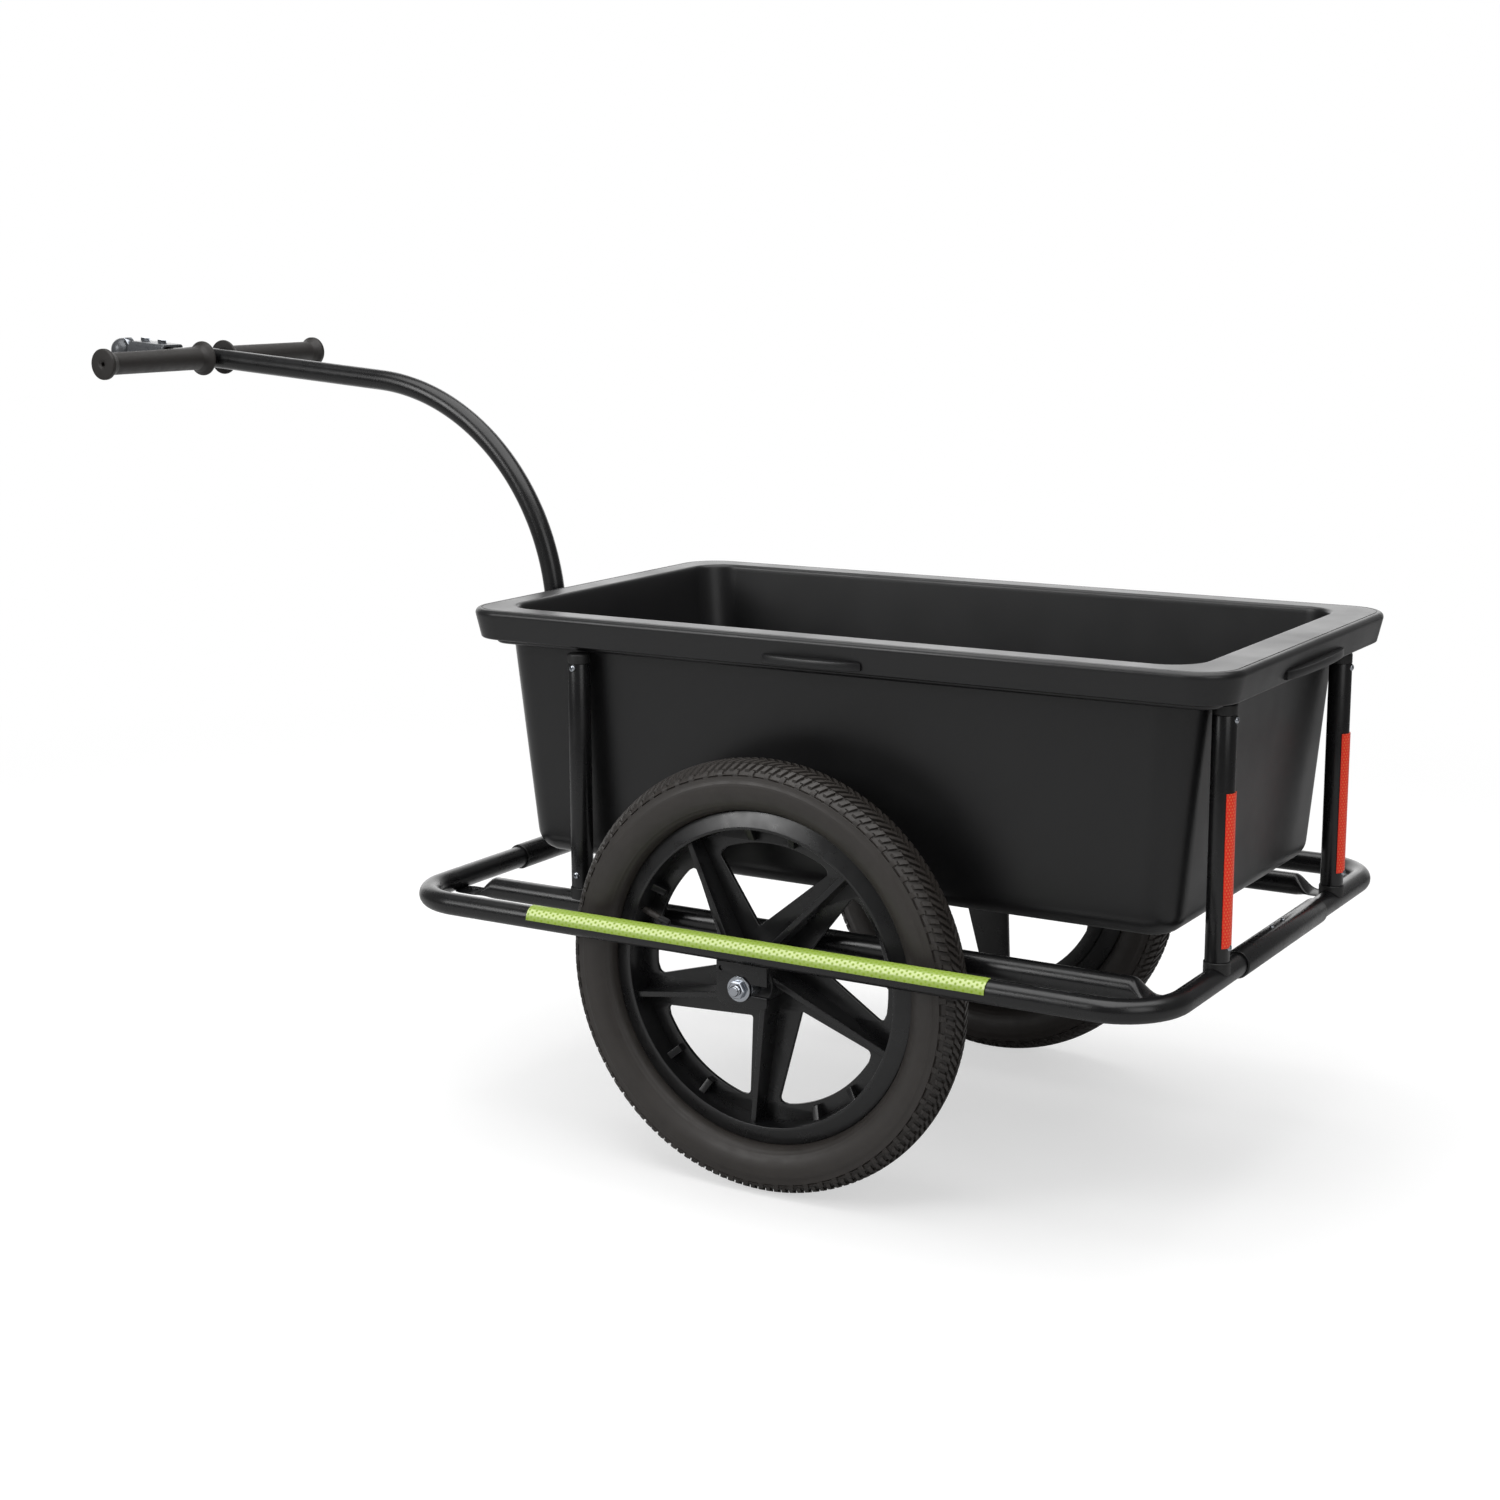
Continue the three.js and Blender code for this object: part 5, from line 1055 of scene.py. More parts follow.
class TRAILER_OT_tyres(bpy.types.Operator):
    """Build both tyres, with rows of tread lugs and the fine moulded rings of their side walls"""

    bl_idname = "trailer.tyres"
    bl_label = "Tyres"

    def execute(self, context):
        sizes = context.scene.trailer_tyre
        for name, side in SIDES.items():
            tyre = self.casing(sizes).join(self.tread(sizes)).moved(axle_stand(side, WHEEL.y))
            make_piece(f"{name}_treaded_tyre", tyre, "tyre", f"{name}_tyre", crease=40)
        return {"FINISHED"}

    def height_at(self, sizes, across, casing=True):
        """Radius of the crown at a place across the tread, of the casing or of the lugs' tops."""
        share = min(abs(across) / TYRE_HALF_WIDTH, 0.985)
        drop, roundness, edge = 17.6 * MM, 2.15, 0.97
        crown = WHEEL_RADIUS - drop * (1 - sqrt(1 - share ** roundness))
        # Towards the tread's edge the casing comes back up to the side wall's line
        sunk = sizes.lug * min(1.0, max(0.0, (edge - share) / 0.03))
        return crown - (sunk if casing else 0)

    def casing(self, sizes):
        half, bead, heel = TYRE_HALF_WIDTH, 152.8 * MM, 6.8 * MM
        outer = [(bead, heel), (159.4 * MM, heel + 0.1 * MM)]
        wall = [(radius * MM, share * half) for radius, share in (
            (159.9, 0.4), (161.9, 0.6), (165.6, 0.76), (170.8, 0.9), (176.5, 0.975), (181.5, 0.995),
            (186.5, 0.985), (190.2, 0.95))]
        # Radii of the fine rings round the side wall
        lines, spread = (163.2, 166.4, 185.4, 187.2), 0.5 * MM
        for radius, y in smooth_line(wall, 6):
            bulge = sum(exp(-((radius - line * MM) / spread) ** 2) for line in lines)
            outer.append((radius, y + 0.6 * sizes.thread_line * bulge))
        shoulder, groove = sizes.shoulder, 0.8 * MM
        outer += [
            (shoulder - groove, 0.937 * half), (shoulder, 0.93 * half - sizes.shoulder_depth),
            (shoulder + groove, 0.925 * half)]
        for share in shares(17)[1:-1]:
            across = 0.93 * half * (1 - share)
            outer.append((self.height_at(sizes, across), across))
        inner = scaled(MM, [(158, 6), (176, 20), (192, 17)])
        inner.insert(0, (bead, 4 * MM))
        profile = outer + [(self.height_at(sizes, 0), 0)] + [(radius, -y) for radius, y in outer[::-1]]
        profile += [(radius, -y) for radius, y in inner] + [(199.5 * MM, 0)] + inner[::-1]
        return Shape().turned(profile, 216)

    def tread(self, sizes):
        """Chevron lugs over the crown and short teeth on the shoulders, each with its reach in mm."""
        tread = Shape()
        pitch = 2 * pi / sizes.lug_rows
        width = 0.56 * pitch
        for row in range(sizes.lug_rows):
            for way in (-1, 1):
                turn_by = pitch * (row + (0.5 if way < 0 else 0))
                self.lug(sizes, tread, way, turn_by, (1.2, 11.5), width, 1.1 * pitch)
                self.lug(sizes, tread, way, turn_by + 0.5 * pitch, (12.8, 19.6), width, 0.45 * pitch)
                if row % 2 == 0:
                    self.lug(sizes, tread, way, turn_by, (20.6, 22.9), 1.2 * width, 0.1 * pitch)
        return tread

    def lug(self, sizes, tread, way, turn_by, reach, width, slant):
        wide = width / 2
        narrow = 0.88 * wide
        rings = []
        for share in shares(3):
            across = between(*reach, share) * MM
            middle = turn_by + slant * (share - 0.5)
            top = self.height_at(sizes, across, casing=False)
            foot = self.height_at(sizes, across) - 0.5 * MM
            section = (foot, wide), (top, narrow), (top, -narrow), (foot, -wide)
            rings.append([
                (radius * sin(middle + half), way * across, radius * cos(middle + half))
                for radius, half in section])
        tread.loft(rings)


class TRAILER_OT_axles(bpy.types.Operator):
    """Build the threaded axles with their sleeves, nuts and washers"""

    bl_idname = "trailer.axles"
    bl_label = "Axles and nuts"

    def execute(self, context):
        sizes = context.scene.trailer_wheel
        for name, side in SIDES.items():
            stand = axle_stand(side)
            axle = self.axle(*self.reach(f"{name}_axle", side))
            make_piece(f"{name}_threaded_axle", axle.moved(stand), "zinc", f"{name}_axle")
            for place, thinner in (("outer", sizes.thin_nut), ("inner", 0)):
                node = f"{name}_{place}_nut"
                low, high = self.reach(node, side)
                nut = hex_head(size_of(node).x / 2, low, high - thinner, 5.2 * MM)
                make_piece(f"{name}_{place}_hex_nut", nut.moved(stand), "zinc", node, crease=20)
            low, high = self.reach(f"{name}_washer", side)
            edge = 0.35 * MM
            washer = collar(
                64, 3, 5.3 * MM, size_of(f"{name}_washer").x / 2, low, high, (0, edge, edge, edge))
            make_piece(f"{name}_flat_washer", washer.moved(stand), "zinc", f"{name}_washer")
            spacer = self.spacer(*self.reach(f"{name}_axle_sleeve", side))
            make_piece(f"{name}_spacer", spacer.moved(stand), "zinc", f"{name}_axle_sleeve")
        return {"FINISHED"}

    def reach(self, node, side):
        low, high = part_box(node)
        return (low.y, high.y) if side > 0 else (-high.y, -low.y)

    def axle(self, low, high):
        """A rod with a thread cut at each end."""
        radius, groove, pitch, edge = 5 * MM, 0.55 * MM, 1.25 * MM, 0.8 * MM
        threaded = 16 * MM
        profile = [(0, low), (radius - edge, low), (radius - 0.2 * edge, low + edge)]

        def thread(place, end):
            while place < end:
                profile.extend([(radius - groove, place), (radius, place + 0.5 * pitch)])
                place += pitch

        thread(low + edge + 0.5 * pitch, low + threaded)
        profile += [(radius, low + threaded + pitch), (radius, high - threaded - pitch)]
        thread(high - threaded, high - edge - 0.5 * pitch)
        profile += [(radius - 0.2 * edge, high - edge), (radius - edge, high), (0, high)]
        return Shape().turned(profile, 40)

    def spacer(self, low, high):
        """A sleeve that carries the bush, with a wider collar to each side of the hub."""
        bore, sleeve, wide, edge = 5.3 * MM, 7.5 * MM, 11 * MM, 0.4 * MM
        inner, outer = WHEEL.y - 22.3 * MM, WHEEL.y + 22.3 * MM
        return lathe(
            48, 3, (bore, low, 0), (wide, low, edge), (wide, inner, edge), (sleeve, inner, 0),
            (sleeve, outer, 0), (wide, outer, edge), (wide, high, edge), (bore, high, 0))


class TRAILER_OT_tub(bpy.types.Operator):
    """Build the moulded tub with its box rim, step and crescent hand-holds"""

    bl_idname = "trailer.tub"
    bl_label = "Tub"

    def execute(self, context):
        sizes = context.scene.trailer_tub
        shape = self.shell(sizes)
        for ledge in self.ledges(sizes):
            shape.join(ledge)
        make_piece("moulded_tub", shape, "tub", "tub", crease=38)
        return {"FINISHED"}

    def inset(self, outline, by):
        """A smaller outline; each is its front, rear, half width and corner radius."""
        front, rear, half, corner = outline
        return front - by, rear + by, half - by, max(corner - by, 1.5 * MM)

    def ring(self, sizes, outline, z):
        front, rear, half, corner = outline
        ahead, behind, aside = front - corner, rear + corner, half - corner
        middles = (ahead, aside), (behind, aside), (behind, -aside), (ahead, -aside)
        points = []
        for side, (x, y) in enumerate(middles):
            for share in shares(sizes.corner_steps):
                angle = pi / 2 * (side + share)
                points.append((x + corner * cos(angle), y + corner * sin(angle), z))
        return points

    def shell(self, sizes):
        """Rings from the floor's underside, up outside, over the rim and down inside."""
        top, bottom = TUB_HIGH.z, TUB_LOW.z
        front, rear = TUB_HIGH.x - self.ledge_proud(sizes), TUB_LOW.x + self.ledge_proud(sizes)
        half = sizes.rim_half
        rim = (front, rear, half, sizes.rim_corner)
        mouth = (
            front - sizes.mouth_front, rear + sizes.mouth_rear, half - sizes.mouth_side,
            sizes.mouth_corner)
        floor = (
            front - sizes.floor_front, rear + sizes.floor_rear, half - sizes.floor_side,
            sizes.floor_corner)
        step_z = top - sizes.rim_drop - sizes.step_drop
        wall_top = self.inset(mouth, -sizes.wall)
        floor_in = self.inset(floor, sizes.wall)
        inner_z = bottom + sizes.wall

        def outer_at(z):
            return [between(a, b, (z - bottom) / (step_z - bottom)) for a, b in zip(floor, wall_top)]

        def inner_at(z):
            return [between(a, b, (z - inner_z) / (top - inner_z)) for a, b in zip(floor_in, mouth)]

        rings = []

        def station(outline, z, by=0.0):
            rings.append(self.ring(sizes, self.inset(outline, by), z))

        fillet, flat, straight, steps = sizes.floor_fillet, 4 * MM, 6 * MM, 8
        station(floor, bottom, fillet + flat)
        for rise, off in quarter(steps):
            z = bottom + fillet * rise
            station(outer_at(z), z, fillet * off)
        for z in (bottom + fillet + straight, step_z - straight, step_z):
            station(outer_at(z), z)
        edge = sizes.step_edge
        for rise, off in quarter(4):
            station(rim, step_z + edge * rise, sizes.step_inset + edge * off)
        ceiling = top - sizes.rim_inner_edge
        station(rim, ceiling, sizes.step_inset)
        station(rim, ceiling, sizes.skirt)
        low_z, lean, shoulder = top - sizes.rim_drop, sizes.rim_lean, 2.4 * MM
        station(rim, low_z, sizes.skirt + lean)
        for rise, off in quarter(5):
            station(rim, low_z + shoulder * rise, lean + shoulder * off)
        edge = sizes.rim_edge
        station(rim, low_z + shoulder + 3 * MM, lean * 0.86)
        station(rim, top - edge - 2 * MM, lean * 0.06)
        for rise, off in quarter(6):
            station(rim, top - edge * off, edge * rise)
        for drop, by in ((0, 0.6), (sizes.bead, 1.1), (sizes.bead, 1.7), (0, 2.2), (0, 3.2)):
            station(rim, top - drop, edge + by * MM)
        edge = sizes.rim_inner_edge
        station(mouth, top, -edge - 2 * MM)
        for rise, off in quarter(5):
            station(mouth, top - edge * rise, -edge * off)
        fillet -= sizes.wall
        for z in (top - edge - 3 * MM, inner_z + fillet + straight):
            station(inner_at(z), z)
        for rise, off in reversed(quarter(steps)):
            z = inner_z + fillet * rise
            station(inner_at(z), z, fillet * off)
        station(floor_in, inner_z, fillet + flat)
        return Shape().loft(rings)

    def face_inset(self, sizes):
        """How far the rim's leaning face lies inside its widest outline at the hand-holds' height."""
        lip = 6 * MM
        return sizes.rim_lean * (sizes.ledge_top - lip) / (sizes.rim_drop - lip)

    def ledge_proud(self, sizes):
        """How far a hand-hold stands past the rim's widest outline."""
        return sizes.ledge_reach - self.face_inset(sizes)

    def ledges(self, sizes):
        """Crescents with their straight side on the rim's face, one on each side of the rim."""
        high = TUB_HIGH.z - sizes.ledge_top
        low = high - sizes.ledge
        x = (TUB_LOW.x + TUB_HIGH.x) / 2
        face = sizes.rim_half - self.face_inset(sizes)
        edge, root = 1.4 * MM, -3 * MM
        levels = [
            (low, edge), (low + 0.3 * edge, 0.3 * edge), (low + edge, 0), (high - edge, 0),
            (high - 0.3 * edge, 0.3 * edge), (high, edge)]
        places = [
            (sizes.side_ledge, x, face, 0.0), (sizes.side_ledge, x, -face, pi),
            (sizes.rear_ledge, TUB_LOW.x + sizes.ledge_reach, 0, pi / 2),
            (sizes.rear_ledge, TUB_HIGH.x - sizes.ledge_reach, 0, -pi / 2)]
        for span, x, y, turn_by in places:
            rings = []
            for z, by in levels:
                half, reach = span / 2 - by, sizes.ledge_reach - by
                ring = [(half, root, z), (-half, root, z)]
                for share in shares(32):
                    across = 2 * share - 1
                    ring.append((across * half, reach * sqrt(max(1 - 0.98 * across ** 2, 0)), z))
                rings.append(ring)
            yield Shape().loft(rings).moved(shift(x, y, 0) @ about_z(turn_by))


class TRAILER_OT_tow_bar(bpy.types.Operator):
    """Build the goose-neck bar with its socket, cross bolt, handle tubes and grips"""

    bl_idname = "trailer.tow_bar"
    bl_label = "Tow bar and handle"

    def execute(self, context):
        sizes = context.scene.trailer_tow_bar
        foot = shift(FRONT_X, 0, RAIL_Z) @ about_y(sizes.lean)
        make_piece("goose_neck_bar", self.bar(sizes), "powder_coat", "tow_bar")
        make_piece("bar_socket", self.socket(sizes).moved(foot), "powder_coat", "tow_bar_socket")
        across = foot @ shift(0, 0, sizes.bolt_rise)
        low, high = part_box("tow_bar_bolt")
        seat, thread = TUBE_RADIUS + 2 * FIT + sizes.socket_wall, 4 * MM
        bolt = hex_head(sizes.bolt_head, low.y, -seat)
        bolt.join(collar(28, 2, 0, thread, -seat, high.y, (0, 0, 0.6 * MM, 0)))
        make_piece("cross_bolt", bolt.moved(across), "zinc", "tow_bar_bolt", crease=20)
        low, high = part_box("tow_bar_nut")
        nut = hex_head(sizes.bolt_head, low.y, high.y, thread + 0.1 * MM)
        make_piece("cross_bolt_nut", nut.moved(across), "zinc", "tow_bar_nut", crease=20)
        place = shift(HANDLE.x, 0, HANDLE.z)
        for name, side in SIDES.items():
            stub = self.handle_tube(sizes, name, side).moved(place)
            make_piece(f"{name}_handle_stub", stub, "powder_coat", f"{name}_handle_tube")
            grip = self.grip(sizes, name, side).moved(place @ about_z(0 if side > 0 else pi))
            make_piece(f"{name}_rubber_grip", grip, "grip", f"{name}_grip")
        return {"FINISHED"}

    def bar(self, sizes):
        """A tube that leans up from the socket, bends over and ends in a part pressed flat."""
        lean = Vector((sin(sizes.lean), 0, cos(sizes.lean)))
        forward = Vector((cos(sizes.lean), 0, sin(sizes.lean)))
        root = Vector((FRONT_X, 0, RAIL_Z))
        handle = Vector((HANDLE.x, 0, HANDLE.z))
        gap = handle - root
        across = forward.x * lean.z - forward.z * lean.x
        rise = (forward.x * gap.z - forward.z * gap.x) / across
        corners = [root + lean * sizes.foot, root + lean * rise, handle + forward * sizes.press_start]
        sides = 48
        along_y = Vector((0, 1, 0))
        rings = tube_rings(bent_line(corners, sizes.bend, sizes.steps), along_y, sides)
        flat = sizes.pressed_half
        width_there = flat_half_width(flat)
        up = Vector((-forward.z, 0, forward.x))
        stations = [
            (between(sizes.press_start, sizes.press_end, share), eased(share), 1.0)
            for share in shares(12)[1:]]
        stations += [(sizes.tip - 0.8 * MM, 1.0, 1.0), (sizes.tip, 1.0, 0.93)]
        for place, ease, scale in stations:
            height = between(TUBE_RADIUS, flat, ease) * scale
            width = between(TUBE_RADIUS, width_there, ease) * scale
            middle = handle + forward * place
            rings.append([middle - up * height * a + along_y * width * b for a, b in circle(1, sides)])
        return Shape().loft(rings)

    def socket(self, sizes):
        """A short tube that sits astride the front sleeve."""
        inner = TUBE_RADIUS + FIT
        outer = inner + sizes.socket_wall
        reach, edge, top = 13.3 * MM, 0.72 * MM, sizes.socket
        rings = []
        for x, y in circle(1, 72):
            section = [(outer, saddle(outer * x, reach))]
            section += [
                (outer - edge * (1 - share), top - edge * share) for share in (1.0, 0.7, 0.35, 0.0)]
            section += [(inner, top), (inner, saddle(inner * x, reach))]
            rings.append([(r * x, r * y, height) for r, height in section])
        return Shape().loft(rings, closed=True)

    def handle_tube(self, sizes, name, side):
        """A stub whose inner end is cut to the bar's round side."""
        low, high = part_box(f"{name}_handle_tube")
        end = max(abs(low.y), abs(high.y))
        outer, inner = sizes.handle, sizes.handle - 1.5 * MM
        rings = []
        for x, z in circle(1, 48):
            off = z * cos(sizes.lean) - x * sin(sizes.lean)
            starts = [saddle(radius * off, TUBE_RADIUS + FIT) for radius in (outer, inner)]
            rings.append([
                (radius * x, side * y, radius * z)
                for radius, y in ((outer, starts[0]), (outer, end), (inner, end), (inner, starts[1]))])
        return Shape().loft(rings, closed=True)

    def grip(self, sizes, name, side):
        """A waisted grip with a flange at each end, and a small hole through its closed end."""
        low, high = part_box(f"{name}_grip")
        start, end = sorted((abs(low.y), abs(high.y)))
        flange, bore = (high.z - low.z) / 2, sizes.handle + FIT
        edge, outer, hole = sizes.grip_edge, sizes.grip_outer, sizes.grip_hole
        cover = end - 4.1 * MM
        return lathe(
            64, 5, (bore, start, 0), (flange, start, 0.8 * edge),
            (flange, start + 2.2 * edge, 0.9 * edge),
            (sizes.grip + 2.6 * MM, start + 6.4 * MM, 4 * MM), (sizes.grip, start + 12 * MM, 5 * MM),
            (sizes.grip_end, end - 14 * MM, 5 * MM), (sizes.grip_end + 2.4 * MM, end - 8 * MM, 4 * MM),
            (outer, end - 4 * edge, edge), (outer, end, 1.3 * edge), (hole * 2.2, end, edge),
            (hole, end - 1.2 * MM, 0.3 * edge),
            (hole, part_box(f"{name}_handle_tube")[1].y if side > 0 else cover, 0), (bore, cover, 0))


def flat_half_width(half_height):
    """Half width of the bar's tube once it is pressed to this half height."""
    return pi * (TUBE_RADIUS - half_height) / 2 + half_height


class TRAILER_OT_coupling(bpy.types.Operator):
    """Build the coupling: folded plate, ball cup with its strap, bolts, and the sprung latch"""

    bl_idname = "trailer.coupling"
    bl_label = "Coupling"

    def execute(self, context):
        sizes, bar = context.scene.trailer_coupling, context.scene.trailer_tow_bar
        stand = shift(HANDLE.x, 0, HANDLE.z) @ about_y(-bar.lean)
        roof = bar.pressed_half + FIT + sizes.plate_wall
        hood = self.hood(sizes, flat_half_width(bar.pressed_half) + FIT, roof)
        make_piece("folded_plate", hood.moved(stand), "coupling", "coupling_plate")
        cup = self.cup(sizes, -bar.pressed_half - FIT)
        make_piece("ball_cup", cup.moved(stand), "coupling", "coupling_head")
        seat = roof + FIT
        low = -bar.pressed_half - 2 * FIT - sizes.arm - sizes.bolt_height
        for name, place in (("rear", sizes.bolt_rear), ("front", sizes.bolt_front)):
            self.bolt(sizes, name, seat, low, stand @ axis_matrix((place, 0, 0), UP))
        lever, pin, spring = self.latch(sizes)
        make_piece("sprung_lever", lever.moved(stand), "zinc", "latch_lever")
        make_piece("lever_pin", pin.moved(stand), "zinc", "latch_pin")
        make_piece("lever_spring", spring.moved(stand), "spring", "latch_spring")
        return {"FINISHED"}

    def hood(self, sizes, inner, roof):
        """A plate folded down over the bar, whose front end is drawn down in a round nose."""
        wall, nose, low = sizes.plate_wall, sizes.plate_nose, -sizes.plate_skirt
        stations = [
            (between(sizes.plate_start, sizes.plate_end - nose, share), 0.0, by * sizes.edge)
            for share, by in ((0.0, 0.5), (0.012, 0.15), (0.04, 0.0), (0.5, 0.0), (1.0, 0.0))]
        stations += [(sizes.plate_end - nose * off, nose * rise, 0.0) for rise, off in quarter(8)[1:]]
        slight, tight, wide = 0.5 * MM, 1 * MM, 3.4 * MM
        rings = []
        for place, drop, by in stations:
            outer, ceiling, top = inner + wall - by, roof - wall - drop, roof - drop - by
            fold = filleted([
                (-outer, low, slight), (-inner, low, slight), (-inner, ceiling, tight),
                (inner, ceiling, tight), (inner, low, slight), (outer, low, slight), (outer, top, wide),
                (-outer, top, wide)])
            rings.append([(place, y, z) for y, z in fold])
        return Shape().loft(rings)

    def cup(self, sizes, top):
        """The domed cup, open below, with its window for the latch, forked strap and lugs."""
        base = top - sizes.arm
        dome, hollow, centre = sizes.dome, sizes.dome - sizes.dome_wall, sizes.dome_rise
        window = asin(3.3 * MM / dome)
        crown = 0.05 * MM
        rises = [pi / 2 * share for share in shares(14)[:-1]]
        rings = []
        for angle in turns(96):
            open_here = abs(remainder(angle - pi, 2 * pi)) < window
            foot = centre - 0.2 * MM if open_here else base
            section = [(hollow + 0.4 * MM, foot), (dome - 0.5 * MM, foot), (dome, foot + 0.5 * MM)]
            section += [(dome * cos(rise), centre + dome * sin(rise)) for rise in rises]
            section += [(crown, centre + dome), (crown, centre + hollow)]
            section += [(hollow * cos(rise), centre + hollow * sin(rise)) for rise in reversed(rises)]
            section.append((hollow, foot + 0.4 * MM))
            rings.append([(sizes.dome_at + r * cos(angle), r * sin(angle), z) for r, z in section])
        shape = Shape().loft(rings, closed=True)
        half, rear, tip = sizes.arm_half, sizes.arm_start, sizes.dome_at - hollow
        slot, slot_rear = 6.3 * MM, 117.5 * MM
        strap = filleted([
            (rear, -half, 3 * MM), (tip, -half, 0), (tip, -slot, 0), (slot_rear, -slot, 1.2 * MM),
            (slot_rear, slot, 1.2 * MM), (tip, slot, 0), (tip, half, 0), (rear, half, 3 * MM)], 6)
        lay_down = Matrix.Rotation(-pi / 2, 4, "X")
        edge = sizes.edge
        shape.join(plate([[(x, -y) for x, y in strap]], -top, -base, 0.5 * edge).moved(lay_down))
        behind, ahead, hang, root = 119 * MM, 129 * MM, -19 * MM, base + 2 * MM
        ear = filleted([
            (behind, hang, 4 * MM), (ahead, hang, 4 * MM), (ahead, root, 0), (behind, root, 0)], 6)
        for side in (-1, 1):
            shape.join(plate([ear], *sorted((side * slot, side * (slot + 2.6 * MM))), 0.4 * edge))
        return shape

    def bolt(self, sizes, name, seat, low, stand):
        """A bolt down through plate, bar and strap, with its nut below."""
        head, height, thread = sizes.bolt_head, sizes.bolt_height, 3 * MM
        bolt = hex_head(head, seat, seat + height)
        bolt.join(collar(24, 3, 0, thread, low - 3 * MM, seat, (0, 0.5 * MM, 0, 0)))
        make_piece(f"{name}_hex_bolt", bolt.moved(stand), "zinc", f"{name}_coupling_bolt", crease=20)
        nut = hex_head(head, low, low + height, thread + 0.1 * MM)
        loose_piece(f"{name}_bolt_nut", nut.moved(stand), "zinc", "frame", "zinc_steel", crease=20)

    def latch(self, sizes):
        """The lever that curls round the cup, its pin, and the spring on the pin."""
        pin_x, pin_z = 124 * MM, -14 * MM
        inner = sizes.dome + 2 * FIT
        outer = inner + 2.5 * MM
        thick, edge = 2.9 * MM, 0.3 * MM

        def on_band(radius, degrees):
            angle = radians(degrees)
            return sizes.dome_at - radius * cos(angle), sizes.dome_rise + radius * sin(angle)

        def round_pin(radius, sides):
            return [(pin_x + x, pin_z + z) for x, z in circle(radius, sides)]

        sweep = [70 * share - 8 for share in shares(20)]
        band = [on_band(outer, degrees) for degrees in sweep]
        band += [on_band(inner, degrees) for degrees in reversed(sweep)]
        lever = plate([band], -6 * MM, 6 * MM, 0.5 * MM)
        web = [
            (pin_x - 3.2 * MM, pin_z), (pin_x + 3.6 * MM, pin_z), on_band(inner, -8), on_band(outer, -4)]
        lever.join(plate([web], -thick, thick, edge))
        lever.join(plate([round_pin(4 * MM, 32), round_pin(2.3 * MM, 24)], -thick, thick, edge))
        rear, front = pin_x + 2 * MM, on_band(inner, -8)[0] + 4.4 * MM
        low, high = -11.3 * MM, -8.7 * MM
        foot = filleted([
            (rear, low, edge), (front, low, edge), (front, high, edge), (rear, high, edge)], 3)
        lever.join(plate([foot], -2.7 * MM, 2.7 * MM, edge))
        end, head = 9.2 * MM, 10.7 * MM
        pin = lathe(
            24, 3, (0, -head, 0), (3 * MM, -head, 0.5 * MM), (3 * MM, -end, 0.1 * MM), (2 * MM, -end, 0),
            (2 * MM, end, 0), (3 * MM, end, 0.1 * MM), (3 * MM, head, 0.5 * MM), (0, head, 0))
        wire, radius, pitch, low = 0.4 * MM, 2.7 * MM, 1.0 * MM, 3.6 * MM
        rings = []
        for share in shares(48):
            coils = 2 * share
            angle = 2 * pi * coils
            out = Vector((cos(angle), 0, sin(angle)))
            middle = Vector((pin_x, low + pitch * coils, pin_z)) + out * radius
            rings.append([middle + out * wire * a + Vector((0, wire * b, 0)) for a, b in circle(1, 10)])
        return lever, pin.moved(shift(pin_x, 0, pin_z)), Shape().loft(rings)


class TRAILER_OT_films(bpy.types.Operator):
    """Lay the lime films on the outer rails and the red films on the rear posts"""

    bl_idname = "trailer.films"
    bl_label = "Reflective films"

    def execute(self, context):
        sizes = context.scene.trailer_film
        for name, side in SIDES.items():
            low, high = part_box(f"{name}_lime_strip")
            # Angles here run from straight out of the rail's side, over its top
            self.film(
                name, "lime", sizes, low.x, high.x, (sizes.lime_low, sizes.lime_high, sizes.lime_middle),
                lambda place, angle, radius: (
                    place, side * (RAIL_Y + radius * cos(angle)), RAIL_Z + radius * sin(angle)))
            low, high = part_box(f"{name}_red_strip")
            post = middle_of(f"rear_{name}_post")
            self.film(
                name, "red", sizes, low.z, high.z, (-sizes.red_half, sizes.red_half, 0.0),
                lambda place, angle, radius: (
                    post.x - radius * cos(angle), post.y + radius * sin(angle), place))
        return {"FINISHED"}

    def film(self, name, hue, sizes, start, end, angles, at):
        """A thin shell that wraps a tube, with its pattern laid out in real lengths."""
        inner = TUBE_RADIUS + FIT
        outer = inner + sizes.thickness
        first, last, middle = angles
        sweep = [between(first, last, share) for share in shares(24)]
        rings, flat = [], []
        for share in shares(60):
            place = between(start, end, share)
            ring = [at(place, angle, outer) for angle in sweep]
            rings.append(ring + [at(place, angle, inner) for angle in reversed(sweep)])
            flat += [(place, (angle - middle) * outer) for angle in sweep + sweep[::-1]]
        shape = Shape().loft(rings)
        piece = make_piece(f"{name}_{hue}_film", shape, hue, f"{name}_{hue}_strip")
        layer = piece.data.uv_layers.new(name="film")
        where = {tuple(round(c, 6) for c in point): uv for point, uv in zip(shape.points, flat)}
        for loop in piece.data.loops:
            point = piece.data.vertices[loop.vertex_index].co
            layer.data[loop.index].uv = where[tuple(round(c, 6) for c in point)]


